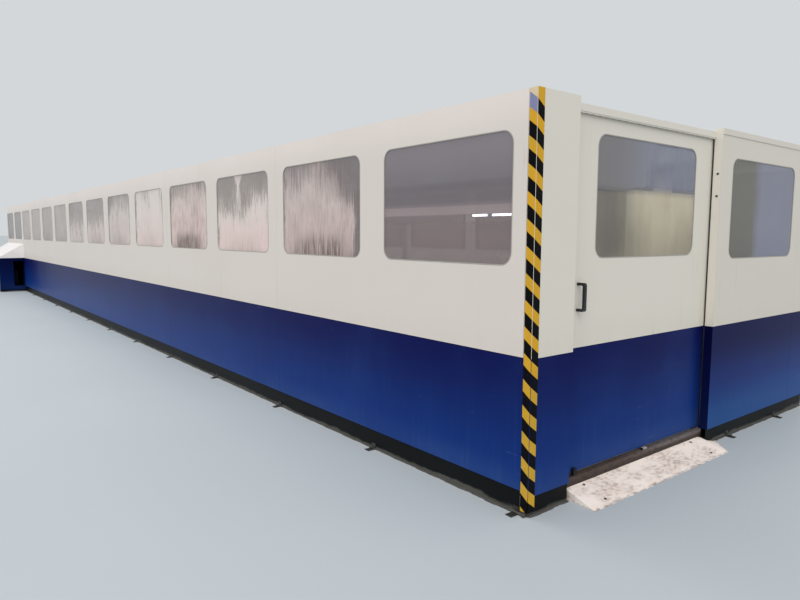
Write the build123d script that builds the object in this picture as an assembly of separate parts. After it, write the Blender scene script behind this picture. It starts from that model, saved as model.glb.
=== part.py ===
from build123d import *
import math
import os

os.makedirs("parts", exist_ok=True)

# All sizes are in millimetres. The row of machine and enclosure lies along X, with the
# personnel door at the +X end, the window side facing -Y and the floor at z 0.

# How far a cutting shape runs past the face that it cuts
past = 1

# Enclosure
bay_length = 3000
bay_count = 7
row_depth = 3975
band_height = 924
skirt_height = 145
end_skirt_height = 120
sheet = 3
tray_depth = 50
joint_gap = 2
blue_inset = 4
skirt_inset = 12
rail_depth = 88
rail_wall = 4
post_size = 50
post_wall = 4

# Windows
windows_per_bay = 2
window_width = 1206
window_height = 765
window_rise = 511
window_head = 200
window_radius = 80
window_shift = -15
end_window_width = 1171
end_window_shift = 20
pane_thickness = 6
pane_lap = 35

# Door end wall
casing_width = 375
casing_return = 57
door_opening = 1725
door_recess = 75
door_overlap = 15
leaf_thickness = 40
leaf_bottom = 134
leaf_drop = 70
door_window_rise = 33
door_window_centre = 1268
sliding_gap = 3
header_gap = 5
header_front = 50
header_back = 190
header_wall = 4
cap_height = 42
cap_stand_off = 6
sill_top = 118
sill_front = 50
sill_back = 150
sill_groove = 12
stop_line = 120
stop_width = 30
stop_height = 45
latch_plate_line = 900
latch_plate_width = 75
latch_plate_height = 12

# Door running gear and handle
roller_radius = 30
roller_flange = 6
roller_width = 20
roller_groove = 13
roller_bore_clearance = 0.05
roller_side_gap = 1
roller_head_room = 9.7
roller_line = 150
roller_inset = 250
hanger_pin_radius = 6
hanger_width = 80
hanger_thickness = 20
hanger_pin_head = 10
running_gap = 0.3
track_thickness = 12
track_drop = 40
track_upstand = 50
track_web = 8
track_leg = 6
guide_clearance = 2
guide_end_gap = 100
handle_height = 175
handle_reach = 58
handle_bar = 16
handle_width = 22
handle_line = 505
handle_bottom = 1150

# Hazard tape on the near corner
tape_thickness = 0.8
tape_front_width = 55
tape_end_width = 58
tape_corner_gap = 2
tape_period = 149.6
tape_black = 80
tape_slope = 0.74
tape_lead = 169
tape_bottom = 30

# Ramp at the door
ramp_run = 185
ramp_rise = 60
ramp_plate = 6
ramp_start = 385
ramp_skew = 25
ramp_end = 2050
ramp_tip = 2067
ramp_wing = 2250

# Floor anchors
anchor_reach = 60
anchor_width = 45
anchor_plate = 6
anchor_leg = 45
anchor_pitch = 1500
anchor_bolt_radius = 11
anchor_bolt_height = 9
end_anchor_lines = (2450, 3350)

# Low cabinet outside the far end of the window side
cabinet_reach = 600
side_cabinet_length = 3000
cover_rise = 386
cover_lip = 20
recess_width = 250
recess_bottom = 160
recess_top = 840
recess_wall_gap = 15
plinth_height = 60
tank_length = 2500
tank_width = 430
tank_height = 480
tank_gap = 60
pump_radius = 75
pump_height = 260
pump_flange = 12
pump_count = 2

# Bed, rails and rack
bed_start = 900
bed_end = 2600
bed_line = 2800
bed_width = 1100
bed_waist = 940
bed_pocket = 55
bed_pocket_rim = 32
bed_pockets = 6
bed_top_width = 1000
bed_height = 620
bed_foot = 90
bed_way_width = 220
bed_way_rise = 30
bed_segments = 4
rail_width = 55
rail_height = 48
rail_waist = 39
rail_spacing = 760
rack_width = 40
rack_height = 34
pinion_radius = 40
pinion_height = 28
pinion_shaft_radius = 18

# Work table
table_start = 2400
table_end = 3000
table_front = 900
table_width = 800
table_top = 720
table_thickness = 160
table_segments = 4
slot_count = 3
slot_pitch = 240
slot_width = 22
slot_neck = 30
slot_undercut_width = 38
slot_undercut_height = 18
pedestal_length = 620
pedestal_inset = 60
pedestal_batter = 70
pedestals_per_segment = 2

# Chip flume between table and bed
flume_front = 1730
flume_back = 2225
flume_top = 330
flume_bottom = 40
flume_floor_width = 220
flume_sheet = 4
flume_foot = 55

# Travelling carriage and column
carriage_length = 1500
carriage_width = 1040
carriage_top = 860
carriage_line = 9000
block_length = 220
block_width = 130
block_drop = 26
blocks_per_rail = 4
column_width = 1100
column_depth = 720
column_top = 2150
column_opening = 600
column_opening_top = 1960
column_foot = 50
column_foot_lip = 20
column_rail_width = 45
column_rail_depth = 60
column_rail_line = 425
column_pocket_depth = 90
column_pockets = 3
column_pocket_rows = 2
column_rib = 66
column_chamfer = 160
rail_end_gap = 20

# Vertical drive
screw_radius = 16
screw_clearance = 0.05
bracket_size = 50
bracket_inset = 5
bracket_height = 40
lift_motor_radius = 70
lift_motor_height = 200
nut_height = 90
nut_width = 66

# Head, ram and spindle
spindle_height = 1230
head_size = 460
head_length = 800
head_front_gap = 520
head_plate_width = 1040
head_plate_depth = 80
head_plate_below = 240
head_plate_above = 240
head_block_length = 160
head_plate_gap = 70
ram_size = 300
ram_length = 1250
ram_clearance = 0.5
ram_chamfer = 20
ram_lead = 60
nose_radius = 120
nose_length = 60
spindle_radius = 64
spindle_clearance = 0.08
spindle_length = 420
spindle_lead = 12
taper_radius = 22.2
taper_small_radius = 12.5
taper_depth = 66
drawbar_radius = 10
drawbar_depth = 60
spindle_motor_radius = 110
spindle_motor_length = 280

# Carriage drive
gearbox_size = 150
gearbox_height = 150
gearbox_chamfer = 15
drive_motor_radius = 65
drive_motor_height = 320
drive_line = 665

# Tool magazine
magazine_line = 19550
magazine_radius = 350
magazine_pots = 18
disc_radius = 292
disc_thickness = 20
disc_hub_radius = 70
fork_width = 92
fork_reach = 45
fork_seat = 32
tool_flange_radius = 31.5
tool_clearance = 20
tool_flange_width = 27
tool_taper_length = 65
tool_stud_radius = 9
tool_stud_length = 26
tool_shank_radius = 14
tool_shank_length = 130
taper_gap = 0.1
disc_hub_length = 150
disc_hole_radius = 50
disc_hole_circle = 170
disc_holes = 6
stand_width = 260
stand_depth = 180
stand_wall = 12
stand_foot = 420
stand_foot_height = 20
stand_pin_radius = 40
stand_gap = 1
stand_motor_radius = 60
stand_motor_length = 180

# Energy chain behind the bed
chain_line = 3450
chain_width = 110
chain_height = 75
chain_bend = 150
chain_free_length = 8100
chain_fixed_line = 11350
tray_width = 150
tray_level = 300
tray_sheet = 4
tray_lip = 30
chain_arm_width = 160
chain_arm_thickness = 30

# Control cabinet and console inside the door
control_face = 800
control_depth = 600
control_start = 2140
control_width = 1200
control_height = 2000
control_plinth = 100
control_sheet = 3
control_rim = 30
control_door_thickness = 20
control_door_gap = 1.5
hinge_offset = 12
hinge_side = 6
hinge_pin_radius = 3
hinge_sleeve_radius = 6
hinge_clearance = 0.05
hinge_length = 40
hinge_top_gap = 1
leaf_side_gap = 1
hinge_heights = (350, 1050, 1750)
latch_line = 60
latch_height = 1050
latch_length = 150
latch_width = 26
latch_thickness = 10
latch_hub_radius = 16
latch_hub_length = 14
plate_gap = 60
plate_thickness = 4
drive_module_columns = 4
drive_module_rows = 3
drive_module_depth = 190
drive_module_gap = 38
drive_module_row_gap = 155
console_width = 500
console_bottom = 850
console_top = 1400
console_depth = 120
console_shelf = 190
console_shelf_top = 1010
console_side_gap = 50
screen_width = 380
screen_height = 280
screen_depth = 6
screen_setback = 1
button_radius = 20
button_stem = 8
button_clearance = 0.08
button_travel = 4
button_thickness = 14

# Lights on the rear posts
light_length = 2700
light_height = 40
light_depth = 60
light_level = 1870
light_stand_off = 10
light_spacing = 2

# Where the row lies: its bounding box is centred on the origin
row_length = bay_length * bay_count
door_x = (row_length - ramp_run) / 2
far_x = door_x - row_length
front_y = -(row_depth + anchor_reach - cabinet_reach) / 2
rear_y = front_y + row_depth
opening_start = front_y + casing_width
opening_end = opening_start + door_opening
far_casing_y = rear_y - casing_width
wall_depth = tray_depth + post_size
end_depth = door_recess - sliding_gap
screw_line = column_opening / 2 + bracket_inset + bracket_size / 2

# Heights that follow from others, up the wall and over the door
window_sill = band_height + window_rise
wall_top = window_sill + window_height + window_head
door_window_sill = window_sill + door_window_rise
leaf_top = wall_top - leaf_drop
header_bottom = leaf_top + header_gap
track_top = leaf_top - track_drop
track_bottom = track_top - track_upstand
axle_height = track_top + running_gap + roller_radius
header_under = axle_height + roller_radius + roller_flange + roller_head_room + track_web
header_top = header_under + header_wall


def block(x0, x1, y0, y1, z0, z1):
    """A box between two X, two Y and two Z limits."""
    centre = Pos((x0 + x1) / 2, (y0 + y1) / 2, (z0 + z1) / 2)
    return centre * Box(x1 - x0, y1 - y0, z1 - z0)


def closed(points):
    """A flat closed outline facing forward, whichever way round its points run."""
    face = Polygon(*points, align=None)
    if face.face().normal_at().Z > 0:
        return face
    return Polygon(*reversed(points), align=None)


def along_x(points, x0, x1):
    """A closed (y, z) outline carried straight from x0 to x1."""
    face = Plane.YZ * closed(points)
    return Pos(x0, 0, 0) * extrude(face, x1 - x0)


def along_y(sketch, y0, y1):
    """A sketch whose axes are X and Z, carried from y0 to y1."""
    face = Plane.XZ.offset(-y0) * sketch
    return extrude(face, -(y1 - y0))


def drum(radius, y0, y1, x=0, z=0):
    """A cylinder with its axis along Y."""
    return along_y(Pos(x, z) * Circle(radius), y0, y1)


def upright(radius, z0, z1, x=0, y=0):
    """A cylinder with its axis along Z."""
    return Pos(x, y, (z0 + z1) / 2) * Cylinder(radius, z1 - z0)


def save(name, solids):
    """Writes one node, made of one solid or of several separate ones."""
    parts = solids if isinstance(solids, list) else [solids]
    flat = [solid for part in parts for solid in part.solids()]
    export_step(Compound(children=flat) if len(flat) > 1 else flat[0], f"parts/{name}.step")


def tray(width, height, depth):
    """A folded sheet tray: its face at y 0, its flanges running back along +Y."""
    outer = block(0, width, 0, depth, 0, height)
    return outer - block(sheet, width - sheet, sheet, depth + sheet, sheet, height - sheet)


def window_cut(centre, sill, width):
    """The rounded window opening, cut through a tray's face."""
    outline = Pos(centre, sill + window_height / 2)
    outline *= RectangleRounded(width, window_height, window_radius)
    return along_y(outline, -sheet, 2 * sheet)


def pane(centre, sill, width):
    """A sheet of glazing behind a tray's face, lapping the opening all round."""
    half = width / 2 + pane_lap
    bottom = sill - pane_lap
    top = sill + window_height + pane_lap
    return block(centre - half, centre + half, sheet, sheet + pane_thickness, bottom, top)


def turned(shape, x, y, turn):
    """Stands a wall piece at a place, its face turned about the vertical."""
    return Pos(x, y, 0) * Rot(0, 0, turn) * shape


def long_wall(corner_cut):
    """Upper trays, lower trays and panes of one long wall, from the far end at x 0."""
    uppers, lowers, panes = [], [], []
    for bay in range(bay_count):
        start = bay * bay_length
        cut = corner_cut if bay == bay_count - 1 else 0
        width = bay_length - joint_gap - cut
        upper = Pos(start, 0, band_height) * tray(width, wall_top - band_height, tray_depth)
        for number in range(windows_per_bay):
            pitch = bay_length / windows_per_bay
            centre = start + pitch * (number + 0.5) + window_shift
            upper -= window_cut(centre, window_sill, window_width)
            panes.append(pane(centre, window_sill, window_width))
        uppers.append(upper)
        lower_height = band_height - joint_gap - skirt_height
        lower = tray(width, lower_height, tray_depth - blue_inset)
        lowers.append(Pos(start, blue_inset, skirt_height) * lower)
    return uppers, lowers, panes


def far_end_wall():
    """Upper and lower trays of the plain wall that closes the far end, two side by side."""
    width = (row_depth - 2 * tray_depth - joint_gap) / 2
    uppers, lowers = [], []
    for side in range(2):
        y = rear_y - tray_depth - side * (width + joint_gap)
        upper = Pos(0, 0, band_height) * tray(width, wall_top - band_height, tray_depth)
        uppers.append(turned(upper, far_x, y, -90))
        lower = tray(width, band_height - joint_gap - skirt_height, tray_depth - blue_inset)
        lower = Pos(0, blue_inset, skirt_height) * lower
        lowers.append(turned(lower, far_x, y, -90))
    return uppers, lowers


def make_walls():
    """The window wall, the same wall turned round at the rear, the far end and all panes."""
    fronts = [
        [turned(part, far_x, front_y, 0) for part in parts]
        for parts in long_wall(casing_return + joint_gap)
    ]
    mirror_plane = Plane.XZ.offset(-(front_y + rear_y) / 2)
    rears = [[mirror(part, about=mirror_plane) for part in parts] for parts in fronts]
    end_uppers, end_lowers = far_end_wall()
    save("front_upper_panels", fronts[0])
    save("front_lower_panels", fronts[1])
    save("rear_upper_panels", rears[0] + end_uppers)
    save("rear_lower_panels", rears[1] + end_lowers)
    save("window_panes", fronts[2] + rears[2] + [make_fixed_end_panel()])


def post_tube(x, y, z0, z1):
    """A square steel tube standing behind the trays."""
    outer = Rectangle(post_size, post_size)
    inner = Rectangle(post_size - 2 * post_wall, post_size - 2 * post_wall)
    return Pos(x, y, z0) * extrude(outer - inner, z1 - z0)


def rail_tube(x0, x1, y, z):
    """A square steel tube along X, centred on y and z."""
    outer = Rectangle(post_size, post_size)
    inner = Rectangle(post_size - 2 * post_wall, post_size - 2 * post_wall)
    return Pos(x0, y, z) * extrude(Plane.YZ * (outer - inner), x1 - x0)


def make_frame():
    """Posts at every bay joint and a tube along the top of both long walls."""
    tubes = []
    post_top = wall_top - post_size
    for y in (front_y + tray_depth + post_size / 2, rear_y - tray_depth - post_size / 2):
        first = far_x + tray_depth + post_size / 2
        last = door_x - door_recess - post_size / 2
        for joint in range(bay_count + 1):
            x = min(max(far_x + joint * bay_length, first), last)
            tubes.append(post_tube(x, y, skirt_height, post_top))
        tubes.append(rail_tube(far_x + tray_depth, last + post_size / 2, y, wall_top - post_size / 2))
    save("frame_tubes", tubes)


def base_channel(length, depth, height):
    """A steel channel on the floor, its web outwards at y 0 and open to the inside."""
    outer = block(0, length, 0, depth, 0, height)
    hollow = block(-past, length + past, rail_wall, depth + past, rail_wall, height - rail_wall)
    return outer - hollow


def make_base_rails():
    """The black channels that carry the walls, with closed boots at the two door corners."""
    shallow = end_depth - skirt_inset
    boot = base_channel(casing_width - skirt_inset, shallow, end_skirt_height)
    boot = turned(boot, door_x - skirt_inset, front_y + skirt_inset, 90)
    long_rail = base_channel(row_length - skirt_inset - end_depth, rail_depth, skirt_height)
    front_parts = [turned(long_rail, far_x + skirt_inset, front_y + skirt_inset, 0), boot]
    mirror_plane = Plane.XZ.offset(-(front_y + rear_y) / 2)
    rails = front_parts + [mirror(part, about=mirror_plane) for part in front_parts]
    fixed_rail = base_channel(far_casing_y - opening_end, shallow, end_skirt_height)
    rails.append(turned(fixed_rail, door_x - skirt_inset, opening_end, 90))
    far_rail = base_channel(row_depth - 2 * (skirt_inset + rail_depth), rail_depth, skirt_height)
    rails.append(turned(far_rail, far_x + skirt_inset, rear_y - skirt_inset - rail_depth, -90))
    plinth = block(
        far_x + skirt_inset, far_x + side_cabinet_length - skirt_inset,
        front_y - cabinet_reach + skirt_inset, front_y, 0, plinth_height,
    )
    rails.append(plinth)
    save("base_rails", rails)


def casing_outline():
    """The folded corner casing seen from above, from the front return to the door return."""
    points = [
        (-casing_return, 0), (0, 0), (0, casing_width), (-end_depth, casing_width),
        (-end_depth, casing_width - sheet), (-sheet, casing_width - sheet),
        (-sheet, sheet), (-casing_return, sheet),
    ]
    return closed(points)


def make_corner_casings():
    """Full-height folded casings at the two door corners, white above and blue below."""
    mirror_plane = Plane.XZ.offset(-(front_y + rear_y) / 2)
    for kind, z0, z1 in (
        ("upper", band_height, wall_top),
        ("lower", end_skirt_height, band_height - joint_gap),
    ):
        near = Pos(door_x, front_y, z0) * extrude(casing_outline(), z1 - z0)
        save(f"corner_casings_{kind}", [near, mirror(near, about=mirror_plane)])


def make_fixed_end_panel():
    """The panel beside the door, deep enough for the leaf to slide behind it; gives its pane."""
    width = far_casing_y - opening_end - joint_gap
    upper = Pos(0, 0, band_height) * tray(width, wall_top - band_height, end_depth)
    centre = width / 2 + end_window_shift
    upper -= window_cut(centre, window_sill, end_window_width)
    glass = pane(centre, window_sill, end_window_width)
    lower_height = band_height - joint_gap - end_skirt_height
    lower = Pos(0, 0, end_skirt_height) * tray(width, lower_height, end_depth)
    save("fixed_end_panel_upper", turned(upper, door_x, opening_end, 90))
    save("fixed_end_panel_lower", turned(lower, door_x, opening_end, 90))
    return turned(glass, door_x, opening_end, 90)


def make_header():
    """The header lip over the leaf, and the cap strip along the fixed panel's top."""
    lip = [
        (door_x - header_front, header_bottom), (door_x - header_front, header_top),
        (door_x - header_back, header_top), (door_x - header_back, header_under),
        (door_x - header_front - header_wall, header_under),
        (door_x - header_front - header_wall, header_bottom),
    ]
    header = along_y(closed(lip), opening_start, opening_end)
    cap = block(
        door_x, door_x + cap_stand_off, opening_end, far_casing_y - joint_gap,
        wall_top - cap_height, wall_top,
    )
    save("door_header", [header, cap])


def make_track():
    """The hanging track: a folded channel whose upstand carries the rollers."""
    back = door_x - header_back
    inner = door_x - roller_line - track_thickness / 2
    outer = door_x - roller_line + track_thickness / 2
    front = door_x - door_recess + sliding_gap
    points = [
        (back, header_under), (back, track_bottom), (outer, track_bottom), (outer, track_top),
        (inner, track_top), (inner, track_bottom + track_web),
        (back + track_leg, track_bottom + track_web), (back + track_leg, header_under - track_web),
        (front, header_under - track_web), (front, header_under),
    ]
    save("door_track", along_y(closed(points), front_y + wall_depth, rear_y - wall_depth))


def make_sill():
    """The steel sill under the leaf, with the groove that guides its lower edge."""
    far = rear_y - wall_depth
    groove = door_x - door_recess - leaf_thickness / 2
    front = block(door_x - sill_back, door_x - sill_front, opening_start, opening_end, 0, sill_top)
    behind = block(
        door_x - sill_back, door_x - door_recess,
        opening_end, far, 0, sill_top,
    )
    sill = front + behind
    sill -= block(
        groove - sill_groove / 2, groove + sill_groove / 2, opening_start - past, far + past,
        sill_top / 2, sill_top + past,
    )
    stop = block(
        door_x - door_recess + sliding_gap, door_x - sill_front - sliding_gap,
        opening_start + stop_line, opening_start + stop_line + stop_width,
        sill_top, sill_top + stop_height,
    )
    latch = block(
        door_x - door_recess + sliding_gap, door_x - sill_front - sliding_gap,
        opening_start + latch_plate_line, opening_start + latch_plate_line + latch_plate_width,
        sill_top, sill_top + latch_plate_height,
    )
    save("door_sill", [sill, stop, latch])


def make_door():
    """The sliding leaf: a white upper and a blue lower tray, pane, handle and hangers."""
    start = opening_start - door_overlap
    width = door_opening + 2 * door_overlap
    face = door_x - door_recess
    upper = Pos(0, 0, band_height) * tray(width, leaf_top - band_height, leaf_thickness)
    centre = front_y + door_window_centre - start
    upper -= window_cut(centre, door_window_sill, window_width)
    lower = Pos(0, 0, leaf_bottom) * tray(width, band_height - leaf_bottom, leaf_thickness)
    save("door_leaf_upper", turned(upper, face, start, 90))
    save("door_leaf_lower", turned(lower, face, start, 90))
    glass = pane(centre, door_window_sill, window_width)
    save("door_pane", turned(glass, face, start, 90))
    outer = RectangleRounded(2 * handle_reach, handle_height, handle_bar)
    inner = RectangleRounded(
        2 * (handle_reach - handle_bar), handle_height - 2 * handle_bar, handle_bar / 2
    )
    bow = (outer - inner) & Pos(handle_reach / 2, 0) * Rectangle(handle_reach, handle_height)
    bow = Pos(face, handle_bottom + handle_height / 2) * bow
    line = front_y + handle_line
    save("door_handle", along_y(bow, line - handle_width / 2, line + handle_width / 2))
    middle = face - leaf_thickness / 2
    half = sill_groove / 2 - guide_clearance
    guide = block(
        middle - half, middle + half, start + guide_end_gap, start + width - guide_end_gap,
        sill_top / 2 + sliding_gap, leaf_bottom,
    )
    make_hangers(face - leaf_thickness, guide)


def roller_places():
    """The Y positions of the two rollers that carry the leaf."""
    start = opening_start - door_overlap
    end = opening_end + door_overlap
    return (start + roller_inset, end - roller_inset)


def make_hangers(back_face, guide):
    """Hanger plates with their pins behind the leaf, and the blade that runs in the sill."""
    plates = [guide]
    for y in roller_places():
        plate = block(
            back_face - hanger_thickness, back_face, y - hanger_width / 2, y + hanger_width / 2,
            track_bottom, axle_height + hanger_pin_radius + sheet,
        )
        far = door_x - roller_line - roller_width / 2 - roller_side_gap
        pin = Rot(0, 90, 0) * Cylinder(hanger_pin_radius, back_face - far)
        head = Rot(0, 90, 0) * Cylinder(hanger_pin_head, sheet)
        plate += Pos((back_face + far) / 2, y, axle_height) * pin
        plates.append(plate + Pos(far - sheet / 2, y, axle_height) * head)
    save("door_hangers", plates)


def make_rollers():
    """Two grooved rollers on the hanger pins, riding on the track's upper edge."""
    rim = roller_radius + roller_flange
    bore = hanger_pin_radius + roller_bore_clearance
    half = roller_width / 2
    groove = roller_groove / 2
    profile = closed([
        (-half, bore), (half, bore), (half, rim), (groove, rim), (groove, roller_radius),
        (-groove, roller_radius), (-groove, rim), (-half, rim),
    ])
    roller = revolve(Plane.XZ * profile, Axis.X)
    for number, y in enumerate(roller_places(), start=1):
        save(f"door_roller_{number}", Pos(door_x - roller_line, y, axle_height) * roller)


def band_sketch(x0, x1, lead):
    """Diagonal bands over a strip from x0 to x1; lead is how far x0 is along the tape."""
    length = wall_top - tape_bottom
    strip = Pos((x0 + x1) / 2, tape_bottom + length / 2) * Rectangle(x1 - x0, length)
    bands = []
    drop = (x1 - x0) * tape_slope
    for number in range(-1, math.ceil(length / tape_period) + 1):
        top = wall_top - tape_lead - number * tape_period - lead * tape_slope
        corners = [(x0, top), (x1, top - drop), (x1, top - drop - tape_black), (x0, top - tape_black)]
        bands.append(closed(corners))
    black = Sketch() + bands
    return strip & black, strip - black


def make_tape():
    """Striped warning tape round the near corner: one strip on each face of the casing."""
    front_black, front_yellow = band_sketch(-tape_front_width, -tape_corner_gap, 0)
    lead = tape_front_width + tape_corner_gap
    end_black, end_yellow = band_sketch(tape_corner_gap, tape_end_width, lead)
    for kind, on_front, on_end in (
        ("black", front_black, end_black),
        ("yellow", front_yellow, end_yellow),
    ):
        front_part = Pos(door_x, 0, 0) * along_y(on_front, front_y - tape_thickness, front_y)
        end_face = Plane.YZ.offset(door_x) * Pos(front_y, 0) * on_end
        end_part = extrude(end_face, tape_thickness)
        save(f"tape_{kind}", [front_part, end_part])


def ramp_body(inset):
    """The ramp filled solid: one slope to the floor in front, one beside the fixed panel."""
    points = [
        (-sill_front, ramp_start + ramp_skew), (ramp_run, ramp_start), (ramp_run, ramp_tip),
        (sliding_gap, ramp_wing), (sliding_gap, opening_end - front_y),
        (-sill_front, opening_end - front_y),
    ]
    body = extrude(offset(closed(points), -inset, kind=Kind.INTERSECTION), ramp_rise)
    corner = Vector(-sill_front, ramp_end, ramp_rise)
    over_front = Plane(
        corner, x_dir=(0, 1, 0), z_dir=Vector(ramp_rise, 0, ramp_run + sill_front),
    )
    along_foot = Vector(ramp_run - sliding_gap, ramp_tip - ramp_wing, 0)
    down_wing = Vector(sliding_gap, ramp_wing, 0) - corner
    over_end = Plane(corner, x_dir=along_foot, z_dir=along_foot.cross(down_wing))
    for side in (over_front, over_end):
        above = Box(row_depth, row_depth, row_depth, align=(Align.CENTER, Align.CENTER, Align.MIN))
        body -= side.offset(-inset) * above
    return body


def make_ramp():
    """The folded plate ramp: a sloped top with closed edges, open underneath."""
    plate = ramp_body(0) - ramp_body(ramp_plate)
    save("ramp", Pos(door_x, front_y, 0) * plate)


def anchor():
    """One floor anchor: an angle bracket with a hexagon bolt, its upright leg at y 0."""
    outline = [
        (0, 0), (-anchor_reach - skirt_inset, 0), (-anchor_reach - skirt_inset, anchor_plate),
        (-anchor_plate, anchor_plate), (-anchor_plate, anchor_leg), (0, anchor_leg),
    ]
    bracket = along_x(outline, -anchor_width / 2, anchor_width / 2)
    head = extrude(RegularPolygon(anchor_bolt_radius, 6), anchor_bolt_height)
    return bracket + Pos(0, -(anchor_reach + skirt_inset + anchor_plate) / 2, anchor_plate) * head


def make_anchors():
    """Floor anchors along both long walls and beside the door."""
    anchors = []
    count = round(row_length / anchor_pitch)
    first_front = math.ceil(side_cabinet_length / anchor_pitch)
    for number in range(1, count):
        x = far_x + number * anchor_pitch
        if number > first_front:
            anchors.append(turned(anchor(), x, front_y + skirt_inset, 0))
        anchors.append(turned(anchor(), x, rear_y - skirt_inset, 180))
    anchors.append(turned(anchor(), door_x - 2 * anchor_width, front_y + skirt_inset, 0))
    for y in end_anchor_lines:
        anchors.append(turned(anchor(), door_x - skirt_inset, front_y + y, 90))
    save("floor_anchors", anchors)


def make_side_cabinet():
    """The low cabinet outside the wall: a blue body, open at one end, and a sloped cover."""
    x0 = far_x
    x1 = far_x + side_cabinet_length
    y0 = front_y - cabinet_reach
    body = block(x0, x1, y0, front_y, plinth_height, band_height)
    body -= block(
        x0 + sheet, x1 - sheet, y0 + sheet, front_y - sheet,
        plinth_height + sheet, band_height + past,
    )
    body -= block(
        x1 - 2 * sheet, x1 + sheet, front_y - recess_wall_gap - recess_width,
        front_y - recess_wall_gap, recess_bottom, recess_top,
    )
    save("side_cabinet_body", body)
    outline = [
        (y0, band_height), (front_y, band_height), (front_y, band_height + cover_rise),
        (y0, band_height + cover_lip),
    ]
    inner = [
        (y0 + sheet, band_height - past), (front_y - sheet, band_height - past),
        (front_y - sheet, band_height + cover_rise - 2 * sheet),
        (y0 + sheet, band_height + cover_lip - sheet),
    ]
    cover = along_x(outline, x0, x1) - along_x(inner, x0 + sheet, x1 - sheet)
    save("side_cabinet_cover", cover)
    make_coolant_tank(x0 + tank_gap, y0 + tank_gap)


def make_coolant_tank(x0, y0):
    """The coolant tank inside the low cabinet, with its lid and two upright pumps."""
    bottom = plinth_height + sheet
    top = bottom + tank_height
    base = top + 2 * sheet
    x1 = x0 + tank_length
    y1 = y0 + tank_width
    tank = block(x0, x1, y0, y1, bottom, top)
    tank -= block(x0 + sheet, x1 - sheet, y0 + sheet, y1 - sheet, bottom + sheet, top)
    lid = block(x0 - sheet, x1 + sheet, y0 - sheet, y1 + sheet, top, base)
    pumps = []
    for number in range(pump_count):
        x = x0 + tank_length * (number + 0.5) / pump_count
        y = y0 + tank_width / 2
        flange = upright(pump_radius + pump_flange, base, base + pump_flange, x, y)
        motor = upright(pump_radius, base + pump_flange, base + pump_height, x, y)
        pumps.append(flange + motor)
    save("coolant_tank", [tank, lid] + pumps)


def bed_outline():
    """The bed's section: wide feet, a waist and two raised ways."""
    half = bed_width / 2
    waist = bed_waist / 2
    top = bed_top_width / 2
    inner = top - bed_way_width
    floor = bed_height - bed_way_rise
    right = [
        (half, 0), (half, bed_foot), (waist, 2 * bed_foot), (waist, floor - bed_foot),
        (top, floor), (top, bed_height), (inner, bed_height), (inner, floor),
    ]
    left = [(-y, z) for y, z in reversed(right)]
    return right + left


def bed_casting(length):
    """One casting of the bed, with a row of pockets between ribs on both sides."""
    casting = along_x(bed_outline(), 0, length)
    low = 2 * bed_foot + bed_pocket_rim
    high = bed_height - bed_way_rise - bed_foot - bed_pocket_rim
    for side in (-1, 1):
        for number in range(bed_pockets):
            x = length * (number + 0.5) / bed_pockets
            pocket = Box(length / bed_pockets - bed_foot, 2 * bed_pocket, high - low)
            casting -= Pos(x, side * bed_waist / 2, (low + high) / 2) * pocket
    return casting


def make_bed():
    """The bed, bolted up from equal castings, with its guide rails and the rack between."""
    x0 = far_x + bed_start
    x1 = door_x - bed_end
    y = front_y + bed_line
    length = (x1 - x0) / bed_segments
    casting = bed_casting(length)
    save("bed", [Pos(x0 + number * length, y, 0) * casting for number in range(bed_segments)])
    half = rail_width / 2
    neck = rail_waist / 2
    third = rail_height / 3
    outline = [
        (half, 0), (half, third), (neck, 1.5 * third), (half, 2 * third), (half, rail_height),
        (-half, rail_height), (-half, 2 * third), (-neck, 1.5 * third), (-half, third), (-half, 0),
    ]
    rails = []
    for side in (-1, 1):
        shape = along_x(outline, x0, x1)
        rails.append(Pos(0, y + side * rail_spacing / 2, bed_height) * shape)
    floor = bed_height - bed_way_rise
    rack = block(x0, x1, y - rack_width / 2, y + rack_width / 2, floor, floor + rack_height)
    save("bed_rails", rails + [rack])


def table_outline():
    """The table plate's section, with its T-slots."""
    half = table_width / 2
    bottom = table_top - table_thickness
    plate = Pos(0, (table_top + bottom) / 2) * Rectangle(2 * half, table_thickness)
    for number in range(slot_count):
        y = (number - (slot_count - 1) / 2) * slot_pitch
        neck = Pos(y, table_top - slot_neck / 2) * Rectangle(slot_width, slot_neck)
        under = table_top - slot_neck - slot_undercut_height / 2
        undercut = Pos(y, under) * Rectangle(slot_undercut_width, slot_undercut_height)
        plate = plate - neck - undercut
    return plate


def make_table():
    """Table plates laid end to end on battered cast pedestals."""
    x0 = far_x + table_start
    x1 = door_x - table_end
    y = front_y + table_front + table_width / 2
    length = (x1 - x0) / table_segments
    section = Plane.YZ * Pos(y, 0) * table_outline()
    plates = [Pos(x0 + n * length, 0, 0) * extrude(section, length) for n in range(table_segments)]
    save("work_table", plates)
    bottom = table_top - table_thickness
    pedestals = []
    total = table_segments * pedestals_per_segment
    for number in range(total):
        x = x0 + (x1 - x0) * (number + 0.5) / total
        depth = table_width - 2 * pedestal_inset
        foot = Rectangle(pedestal_length, depth)
        head = Rectangle(pedestal_length - 2 * pedestal_batter, depth)
        body = loft([Pos(x, y, 0) * foot, Pos(x, y, bottom) * head])
        arch = RectangleRounded(pedestal_length / 2, bottom / 2, pedestal_batter)
        recess = Pos(x, bottom / 2) * arch
        body -= along_y(recess, y - depth / 2 - past, y - depth / 2 + pedestal_batter)
        pedestals.append(body)
    save("table_pedestals", pedestals)


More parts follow.
